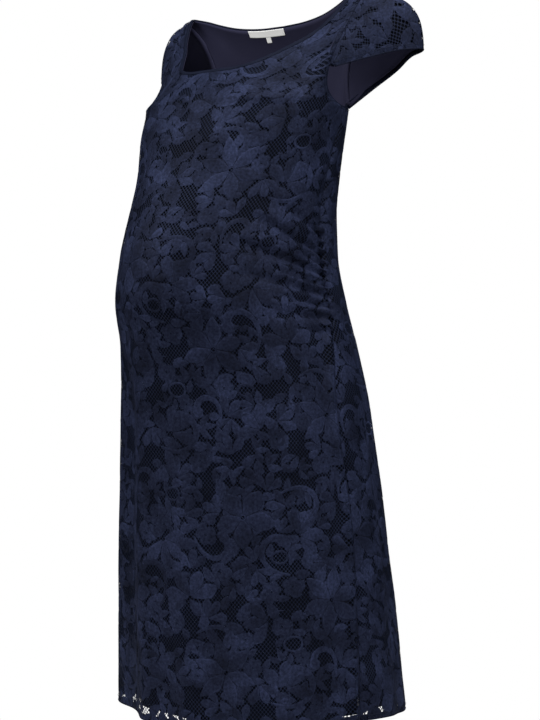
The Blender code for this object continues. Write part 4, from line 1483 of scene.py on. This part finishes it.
def blank_material(name):
    """A material without nodes, and its tree."""
    material = bpy.data.materials.new(name)
    material.use_nodes = True
    material.node_tree.nodes.clear()
    return material, material.node_tree


def finished(material, paint, height, strength, depth, inputs):
    """A material given its bump, its shader with that paint and its output."""
    tree = material.node_tree
    bump = add(tree, "ShaderNodeBump", {
        "Height": height, "Strength": strength, "Distance": depth})
    shader = add(tree, "ShaderNodeBsdfPrincipled", {
        "Base Color": paint, "Normal": bump.outputs[0], **inputs})
    add(tree, "ShaderNodeOutputMaterial", {"Surface": shader.outputs[0]})
    return material


def bobbinet(sizes, colours):
    """Bobbinet of fine polyamide thread: to the eye a dull dark veil with diamond holes.

    It is thread where |cos P cos Q| is small, P and Q being half turns along its two
    diagonals. The real holes are about 2 mm wide; they are drawn twice as wide, to show.
    """
    material, tree = blank_material("bobbinet")
    place = add(tree, "ShaderNodeUVMap", uv_map="cloth").outputs[0]
    apart = add(tree, "ShaderNodeSeparateXYZ", {0: place})
    across, up = (add(tree, "ShaderNodeMath", {0: apart.outputs[k], 1: np.pi / pitch},
                      operation="MULTIPLY").outputs[0]
                  for k, pitch in enumerate((sizes.net_width, sizes.net_height)))
    diagonals = [add(tree, "ShaderNodeMath", {0: across, 1: up}, operation=way).outputs[0]
                 for way in ("ADD", "SUBTRACT")]
    waves = [add(tree, "ShaderNodeMath", {0: diagonal}, operation="COSINE").outputs[0]
             for diagonal in diagonals]
    product = add(tree, "ShaderNodeMath", {0: waves[0], 1: waves[1]}, operation="MULTIPLY")
    openness = add(tree, "ShaderNodeMath", {0: product.outputs[0]}, operation="ABSOLUTE")
    thread = add(tree, "ShaderNodeMapRange", {
        "Value": openness.outputs[0], "From Min": sizes.net_thread - 0.03,
        "From Max": sizes.net_thread + 0.03, "To Min": 1.0, "To Max": 0.0})
    spot = add(tree, "ShaderNodeTexCoord").outputs["Object"]
    paint = scaled(tree, colours.net, [noise_share(tree, spot, LACE_CLOUD, 1.0, 0.72, 1.28)])
    return finished(material, paint, thread.outputs[0], 0.4, 0.0003, {
        "Alpha": thread.outputs[0], "Roughness": 0.62, "Specular IOR Level": 0.05})


def scaled(tree, colour, shares):
    """A colour times several shares, each a socket."""
    share = shares[0]
    for other in shares[1:]:
        share = add(tree, "ShaderNodeMath", {0: share, 1: other}, operation="MULTIPLY").outputs[0]
    return add(tree, "ShaderNodeVectorMath", {0: tuple(colour)[:3], "Scale": share},
               operation="SCALE").outputs[0]


def noise_share(tree, place, size, detail, low, high):
    """A share between low and high that wanders over a distance of about the size."""
    noise = add(tree, "ShaderNodeTexNoise", {
        "Vector": place, "Scale": 1 / size, "Detail": detail, "Roughness": 0.6})
    return add(tree, "ShaderNodeMapRange", {
        "Value": noise.outputs[0], "From Min": 0.32, "From Max": 0.68, "To Min": low,
        "To Max": high}).outputs[0]


def satin_motif(colours):
    """Motifs of viscose laid thread by thread: flat dull satin, mottled where the threads bunch,
    with painted shade along the edge where it drops to the net, a painted highlight on the raised
    ridge inside it, painted shade in the shallow groove down the middle, and a painted sheen, a
    tone that wanders slowly over the lace, for the threads turning to the light."""
    material, tree = blank_material("lace_satin")
    place = add(tree, "ShaderNodeUVMap", uv_map="thread").outputs[0]
    spot = add(tree, "ShaderNodeTexCoord").outputs["Object"]
    tone = add(tree, "ShaderNodeAttribute", attribute_name="tone").outputs["Fac"]
    rim = add(tree, "ShaderNodeAttribute", attribute_name="rim").outputs["Fac"]
    own = add(tree, "ShaderNodeMapRange", {"Value": tone, "To Min": 0.72, "To Max": 1.30})
    # Painted shade and highlight across each motif, read off its place from middle to rim
    lines = add(tree, "ShaderNodeValToRGB", {0: rim})
    ramp = lines.color_ramp
    for number, (where, share) in enumerate(MOTIF_PAINTED_RIM_LIGHT):
        stop = ramp.elements[number] if number < 2 else ramp.elements.new(where)
        stop.position = where
        stop.color = (share, share, share, 1.0)
    paint = scaled(tree, colours.motif, [
        own.outputs[0], lines.outputs[0],
        noise_share(tree, spot, MOTIF_GRAIN, 3.0, 0.62, 1.42),
        noise_share(tree, spot, LACE_CLOUD, 1.0, 0.66, 1.34)])
    threads = add(tree, "ShaderNodeTexWave", {
        "Vector": place, "Scale": WAVE_TURN / THREAD_WIDTH, "Distortion": 1.5, "Detail": 1.0},
        bands_direction="Y")
    return finished(material, paint, threads.outputs["Fac"], 0.3, 0.0001, {
        "Roughness": 0.66, "Specular IOR Level": 0.06})


def fine_jersey(name, colour):
    """Fine polyester jersey: smooth and dull with a faint rib along its length, and a slow random
    cloud of painted light and shade over it. The real ribs are 0.6 mm wide; they are drawn wider,
    to show."""
    material, tree = blank_material(name)
    place = add(tree, "ShaderNodeUVMap", uv_map="cloth").outputs[0]
    ribs = add(tree, "ShaderNodeTexWave", {
        "Vector": place, "Scale": WAVE_TURN / RIB_WIDTH, "Distortion": 0.6, "Detail": 2.0},
        bands_direction="X")
    cloudy = add(tree, "ShaderNodeTexNoise", {
        "Vector": place, "Scale": 1 / JERSEY_CLOUD, "Detail": 2.0})
    paint = add(tree, "ShaderNodeMix", {
        0: cloudy.outputs[0], 6: shade(colour, 0.85), 7: shade(colour, 1.15)},
        data_type="RGBA")
    return finished(material, paint.outputs[2], ribs.outputs["Fac"], 0.25, 0.0001, {
        "Roughness": 0.72, "Specular IOR Level": 0.06, "Sheen Weight": 0.01,
        "Sheen Roughness": 0.6})


def turned_lace(colours):
    """Lace folded double along an edge: opaque and dull, with the net's grain printed in it."""
    material, tree = blank_material("turned_lace")
    place = add(tree, "ShaderNodeUVMap", uv_map="cloth").outputs[0]
    grain = add(tree, "ShaderNodeTexVoronoi", {
        "Vector": place, "Scale": 1 / FOLD_GRAIN, "Randomness": 0.5})
    cloudy = add(tree, "ShaderNodeTexNoise", {
        "Vector": place, "Scale": 1 / NET_PATCH, "Detail": 3.0})
    paint = add(tree, "ShaderNodeMix", {
        0: cloudy.outputs[0], 6: shade(colours.net, 0.30), 7: shade(colours.motif, 0.62)},
        data_type="RGBA")
    return finished(material, paint.outputs[2], grain.outputs["Distance"], 0.5, 0.0003, {
        "Roughness": 0.66, "Specular IOR Level": 0.05})


def sewing_thread(name, colour):
    """Spun polyester sewing thread: dull, with its twist as slanting ridges 0.4 mm apart."""
    material, tree = blank_material(name)
    place = add(tree, "ShaderNodeTexCoord").outputs["Object"]
    twist = add(tree, "ShaderNodeTexWave", {
        "Vector": place, "Scale": WAVE_TURN / TWIST_PITCH, "Distortion": 0.5},
        bands_direction="DIAGONAL")
    return finished(material, tuple(colour), twist.outputs["Fac"], 0.4, 0.0001, {
        "Roughness": 0.6, "Specular IOR Level": 0.2})


def woven_tape(colours):
    """White polyester tape woven in satin: fine ribs across it, and a painted glow of light, so
    that it stays white in the shade of the neck."""
    material, tree = blank_material("white_woven_tape")
    place = add(tree, "ShaderNodeUVMap", uv_map="cloth").outputs[0]
    ribs, picks = (add(tree, "ShaderNodeTexWave", {
        "Vector": place, "Scale": WAVE_TURN / TAPE_RIB, "Distortion": 0.3},
        bands_direction=way).outputs["Fac"] for way in ("X", "Y"))
    weave = add(tree, "ShaderNodeMath", {0: ribs, 1: picks}, operation="MULTIPLY")
    paint = add(tree, "ShaderNodeMix", {
        0: weave.outputs[0], 6: shade(colours.label, 0.88), 7: shade(colours.label, 1.0)},
        data_type="RGBA")
    return finished(material, paint.outputs[2], weave.outputs[0], 0.4, 0.0001, {
        "Roughness": 0.48, "Specular IOR Level": 0.4, "Emission Color": tuple(colours.label),
        "Emission Strength": PAINTED_LABEL_GLOW})


def studio_paper(colour):
    """Matt white background paper with a barely uneven surface."""
    material, tree = blank_material("studio_paper")
    place = add(tree, "ShaderNodeTexCoord").outputs["Object"]
    fibre = add(tree, "ShaderNodeTexNoise", {
        "Vector": place, "Scale": PAPER_GRAINS, "Detail": 3.0})
    return finished(material, tuple(colour), fibre.outputs[0], 0.05, 0.001, {
        "Roughness": 0.9, "Specular IOR Level": 0.2})


# --- What a user may change ---

COLOUR = {"size": 4, "min": 0, "max": 1, "subtype": "COLOR"}


class DressSizes(bpy.types.PropertyGroup):
    """Sizes of the cloth's details."""

    net_width: bpy.props.FloatProperty(
        name="Net hole width", description="Pitch of the net's holes across the cloth",
        default=0.0050, min=0.001, max=0.02, unit="LENGTH")
    net_height: bpy.props.FloatProperty(
        name="Net hole height", description="Pitch of the net's holes up the cloth",
        default=0.0058, min=0.001, max=0.02, unit="LENGTH")
    net_thread: bpy.props.FloatProperty(
        name="Net thread share", description="How much of each hole its threads close",
        default=0.26, min=0.05, max=0.9, subtype="FACTOR")
    motif_relief: bpy.props.FloatProperty(
        name="Motif relief", description="How far the flowers and leaves stand over the net",
        default=0.00012, min=0.00005, max=0.001, unit="LENGTH")
    label_width: bpy.props.FloatProperty(
        name="Label width", description="Width of the white label inside the back neck",
        default=0.062, min=0.02, max=0.08, unit="LENGTH")
    label_height: bpy.props.FloatProperty(
        name="Label height", description="Height of the white label",
        default=0.010, min=0.006, max=0.03, unit="LENGTH")


class DressColours(bpy.types.PropertyGroup):
    """Colours of the dress."""

    motif: bpy.props.FloatVectorProperty(
        name="Flowers and leaves", description="Colour of the lace's raised motifs",
        default=linear("#252B42"), **COLOUR)
    net: bpy.props.FloatVectorProperty(
        name="Net", description="Colour of the net between the motifs",
        default=linear("#20263A"), **COLOUR)
    lining: bpy.props.FloatVectorProperty(
        name="Lining", description="Colour of the jersey lining, seen inside",
        default=linear("#303046"), **COLOUR)
    # Painted shade: the lining's outer side is the same jersey as its inside, painted far darker
    # for the shade it lies in under the net
    painted_shade_lining: bpy.props.FloatVectorProperty(
        name="Lining under the net", description="Colour of the lining's outer side",
        default=linear("#0B0E17"), **COLOUR)
    thread: bpy.props.FloatVectorProperty(
        name="Sewing thread", description="Colour of the stitches",
        default=linear("#1C2236"), **COLOUR)
    label: bpy.props.FloatVectorProperty(
        name="Label", description="Colour of the woven label and size tab",
        default=linear("#EEEEEC"), **COLOUR)


class DressStudio(bpy.types.PropertyGroup):
    """Light and floor."""

    key_power: bpy.props.FloatProperty(
        name="Key light", description="Power of the large soft light at the left of the picture",
        default=40.0, min=0, max=1000, unit="POWER")
    fill_power: bpy.props.FloatProperty(
        name="Fill light", description="Power of the large soft light at the right of the picture",
        default=44.0, min=0, max=1000, unit="POWER")
    top_power: bpy.props.FloatProperty(
        name="Top light", description="Power of the light over the shoulders",
        default=46.0, min=0, max=1000, unit="POWER")
    surround: bpy.props.FloatProperty(
        name="Surround light", description="Strength of the even light from all round",
        default=0.03, min=0, max=5)
    floor: bpy.props.FloatVectorProperty(
        name="Floor", description="Colour of the floor",
        default=linear("#F2F2F2"), **COLOUR)


# --- Pieces, one operator for each or for each group of like ones ---

class DRESS_OT_net(bpy.types.Operator):
    """Lays the net of both body panels and both cap sleeves in place of their solids"""

    bl_idname = "dress.net"
    bl_label = "Net"

    def execute(self, context):
        material = bobbinet(context.scene.dress_sizes, context.scene.dress_colours)
        for name, cloth in panels().items():
            part = grid_part(cloth.points, cloth=cloth.flat)
            net = make_piece(name + "_net", part, material, NET_WALL)
            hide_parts(LACE_NODES[name])
        return {"FINISHED"}


class DRESS_OT_motifs(bpy.types.Operator):
    """Lays the lace's raised flowers, scrolls and leaves on the net"""

    bl_idname = "dress.motifs"
    bl_label = "Flowers and leaves"

    def execute(self, context):
        sizes = context.scene.dress_sizes
        material = satin_motif(context.scene.dress_colours)
        repeat = lace_repeat()
        for number, (name, cloth) in enumerate(panels().items()):
            groups = repeat if name in ("front", "back") else {"motifs": sum(repeat.values(), ())}
            for group, kinds in groups.items():
                part = lay_lace(cloth, kinds, np.array(LACE_SHIFTS[name]), number,
                                sizes.motif_relief)
                motifs = make_piece(f"{name}_{group}", part, material)
        return {"FINISHED"}


class DRESS_OT_lining(bpy.types.Operator):
    """Lays the jersey lining inside the lace, inset at the seams and short of the hem"""

    bl_idname = "dress.lining"
    bl_label = "Lining"

    def execute(self, context):
        colours = context.scene.dress_colours
        # Painted shade: the outer side is a darker copy of the jersey, and the inner side keeps
        # the lining's own colour
        outside = fine_jersey("jersey_in_painted_shade", colours.painted_shade_lining)
        inside = fine_jersey("fine_jersey", colours.lining)
        for name, cloth in linings().items():
            part = grid_part(cloth.points, cloth=cloth.flat)
            lining = make_piece(name + "_jersey", part, outside, LINING_WALL, inside)
            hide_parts(LINING_NODES[name])
        return {"FINISHED"}


class DRESS_OT_edges(bpy.types.Operator):
    """Turns the hems, neck and armholes, and lays the seam allowances and the stitches"""

    bl_idname = "dress.edges"
    bl_label = "Edges and stitches"

    def execute(self, context):
        colours = context.scene.dress_colours
        folded = turned_lace(colours)
        thread = sewing_thread("navy_sewing_thread", colours.thread)
        jersey = fine_jersey("jersey_binding", colours.lining)
        for name, depth, material, slot in (
                ("armhole_allowances", ALLOWANCE_DEPTH, folded, "lace"),
                ("armhole_bindings", LINING_DEPTH + LINING_WALL - BINDING_OVERLAP, jersey,
                 "lining")):
            strips = [seam_strip(body, sleeve, BINDING_REACH, depth, BINDING_WALL)
                      for body, sleeve in armhole_pairs()]
            make_piece(name, joined(strips), material)
        for name, profile, insets in EDGE_KINDS:
            runs = edges()[name]
            strip = make_piece(name, joined([edge_strip(run, profile) for run in runs]), folded)
            if insets:
                rows = [stitch_row(run, inset, STITCH_LIFT) for run in runs for inset in insets]
                stitches = make_piece(name + "_stitches", joined(rows), thread)
        return {"FINISHED"}


class DRESS_OT_label(bpy.types.Operator):
    """Sews the bare white label and its size tab inside the back neck"""

    bl_idname = "dress.label"
    bl_label = "Label"

    def execute(self, context):
        sizes, colours = context.scene.dress_sizes, context.scene.dress_colours
        material = woven_tape(colours)
        label = label_grid(sizes.label_width, sizes.label_height, LABEL_DROP, LABEL_DEPTH)
        tab_top = sizes.label_height + LABEL_DROP - TAB_TUCK
        tab = label_grid(TAB_WIDTH, TAB_HEIGHT + TAB_TUCK, tab_top, LABEL_DEPTH - LABEL_WALL / 2)
        for name, node, grid in (("bare_label", "neck_label", label),
                                 ("folded_tab", "size_tab", tab)):
            piece = make_piece(name, grid_part(grid, cloth=lengths_along(grid)), material,
                               LABEL_WALL)
            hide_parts(node)
        thread = sewing_thread("white_sewing_thread", colours.label)
        ends = []
        for col, way in ((1, -1), (-2, 1)):
            side, out = label[::way, col], normals_of(label)[::way, col]
            inward = np.cross(unit(np.gradient(side, axis=0)), out)
            ends.append(stitch_row((side, inward, -out), 0.0, LABEL_WALL))
        stitches = make_piece("label_stitches", joined(ends), thread)
        return {"FINISHED"}


class DRESS_OT_cut_sizes(bpy.types.Operator):
    """Reads each sheet of cloth and the size it was cut to from the table, and makes nothing of
    them
    """

    bl_idname = "dress.cut_sizes"
    bl_label = "Cut sizes"

    def execute(self, context):
        for name, (flat, area, held, hung_on, pieces) in SHEETS.items():
            list(pieces)
            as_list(hung_on)
        return {"FINISHED"}


class DRESS_OT_studio(bpy.types.Operator):
    """Sets the camera, the soft lights, the pale surround and the floor"""

    bl_idname = "dress.studio"
    bl_label = "Studio"

    def execute(self, context):
        studio = context.scene.dress_studio
        context.scene.view_settings.view_transform = "Standard"
        camera = bpy.data.objects.new("camera", bpy.data.cameras.new("camera"))
        camera.data.lens = CAMERA_LENS
        turn = np.radians(CAMERA_AZIMUTH)
        camera.location = (CAMERA_DISTANCE * np.sin(turn) + CAMERA_SLIDE * np.cos(turn),
                           -CAMERA_DISTANCE * np.cos(turn) + CAMERA_SLIDE * np.sin(turn),
                           CAMERA_HEIGHT)
        camera.rotation_euler = (np.pi / 2, 0, turn)
        context.scene.collection.objects.link(camera)
        context.scene.camera = camera
        for name, azimuth, height, distance, size, power in (
                ("key_light", *KEY_PLACE, studio.key_power),
                ("fill_light", *FILL_PLACE, studio.fill_power),
                ("top_light", *TOP_PLACE, studio.top_power)):
            lamp = bpy.data.objects.new(name, bpy.data.lights.new(name, "AREA"))
            lamp.data.shape = "DISK"
            lamp.data.size = size
            lamp.data.energy = power
            angle = np.radians(azimuth)
            place = Vector((distance * np.sin(angle), -distance * np.cos(angle), height))
            lamp.location = place
            lamp.rotation_euler = (Vector(LIGHT_AIM) - place).to_track_quat("-Z", "Y").to_euler()
            context.scene.collection.objects.link(lamp)
        world = bpy.data.worlds.new("white_surround")
        world.use_nodes = True
        tree = world.node_tree
        tree.nodes.clear()
        seen = add(tree, "ShaderNodeBackground", {"Color": (1, 1, 1, 1), "Strength": 1.0})
        lit = add(tree, "ShaderNodeBackground", {"Color": (1, 1, 1, 1),
                                                 "Strength": studio.surround})
        eye = add(tree, "ShaderNodeLightPath").outputs["Is Camera Ray"]
        both = add(tree, "ShaderNodeMixShader", {0: eye, 1: lit.outputs[0], 2: seen.outputs[0]})
        add(tree, "ShaderNodeOutputWorld", {"Surface": both.outputs[0]})
        context.scene.world = world
        turn = np.linspace(0, 2 * np.pi, FLOOR_SIDES + 1)
        radius = np.array(FLOOR_RINGS)[:, None]
        floor_points = np.stack([radius * np.sin(turn), radius * np.cos(turn),
                                 FLOOR_HEIGHT + 0 * radius * turn], axis=-1)
        floor = make_piece("floor", grid_part(floor_points), studio_paper(studio.floor))
        floor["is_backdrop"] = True
        return {"FINISHED"}


class DRESS_PT_panel(bpy.types.Panel):
    """The dress's sizes, colours and pieces"""

    bl_idname = "DRESS_PT_panel"
    bl_label = "Lace maternity dress"
    bl_space_type = "VIEW_3D"
    bl_region_type = "UI"
    bl_category = "Dress"

    def draw(self, context):
        for group in (context.scene.dress_sizes, context.scene.dress_colours,
                      context.scene.dress_studio):
            box = self.layout.box()
            for name in group.__annotations__:
                box.prop(group, name)
        for operator in OPERATORS:
            self.layout.operator(operator.bl_idname)


OPERATORS = (DRESS_OT_net, DRESS_OT_motifs, DRESS_OT_lining, DRESS_OT_edges, DRESS_OT_label,
             DRESS_OT_cut_sizes, DRESS_OT_studio)
GROUPS = {"dress_sizes": DressSizes, "dress_colours": DressColours, "dress_studio": DressStudio}


def register():
    """Registers the property groups, operators and panel."""
    for one in (*GROUPS.values(), *OPERATORS, DRESS_PT_panel):
        bpy.utils.register_class(one)
    for name, group in GROUPS.items():
        setattr(bpy.types.Scene, name, bpy.props.PointerProperty(type=group))


def unregister():
    """Takes away what register added, in the opposite order."""
    for name in GROUPS:
        delattr(bpy.types.Scene, name)
    for one in (DRESS_PT_panel, *reversed(OPERATORS), *reversed(GROUPS.values())):
        bpy.utils.unregister_class(one)


def main():
    """Makes every piece in order."""
    register()
    bpy.ops.dress.net()
    bpy.ops.dress.motifs()
    bpy.ops.dress.lining()
    bpy.ops.dress.edges()
    bpy.ops.dress.label()
    bpy.ops.dress.cut_sizes()
    bpy.ops.dress.studio()
    boxes = {"cad": [list(corner) for corner in CAD_BOX],
             "visual": [list(corner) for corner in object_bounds()]}


if __name__ == "__main__":
    main()
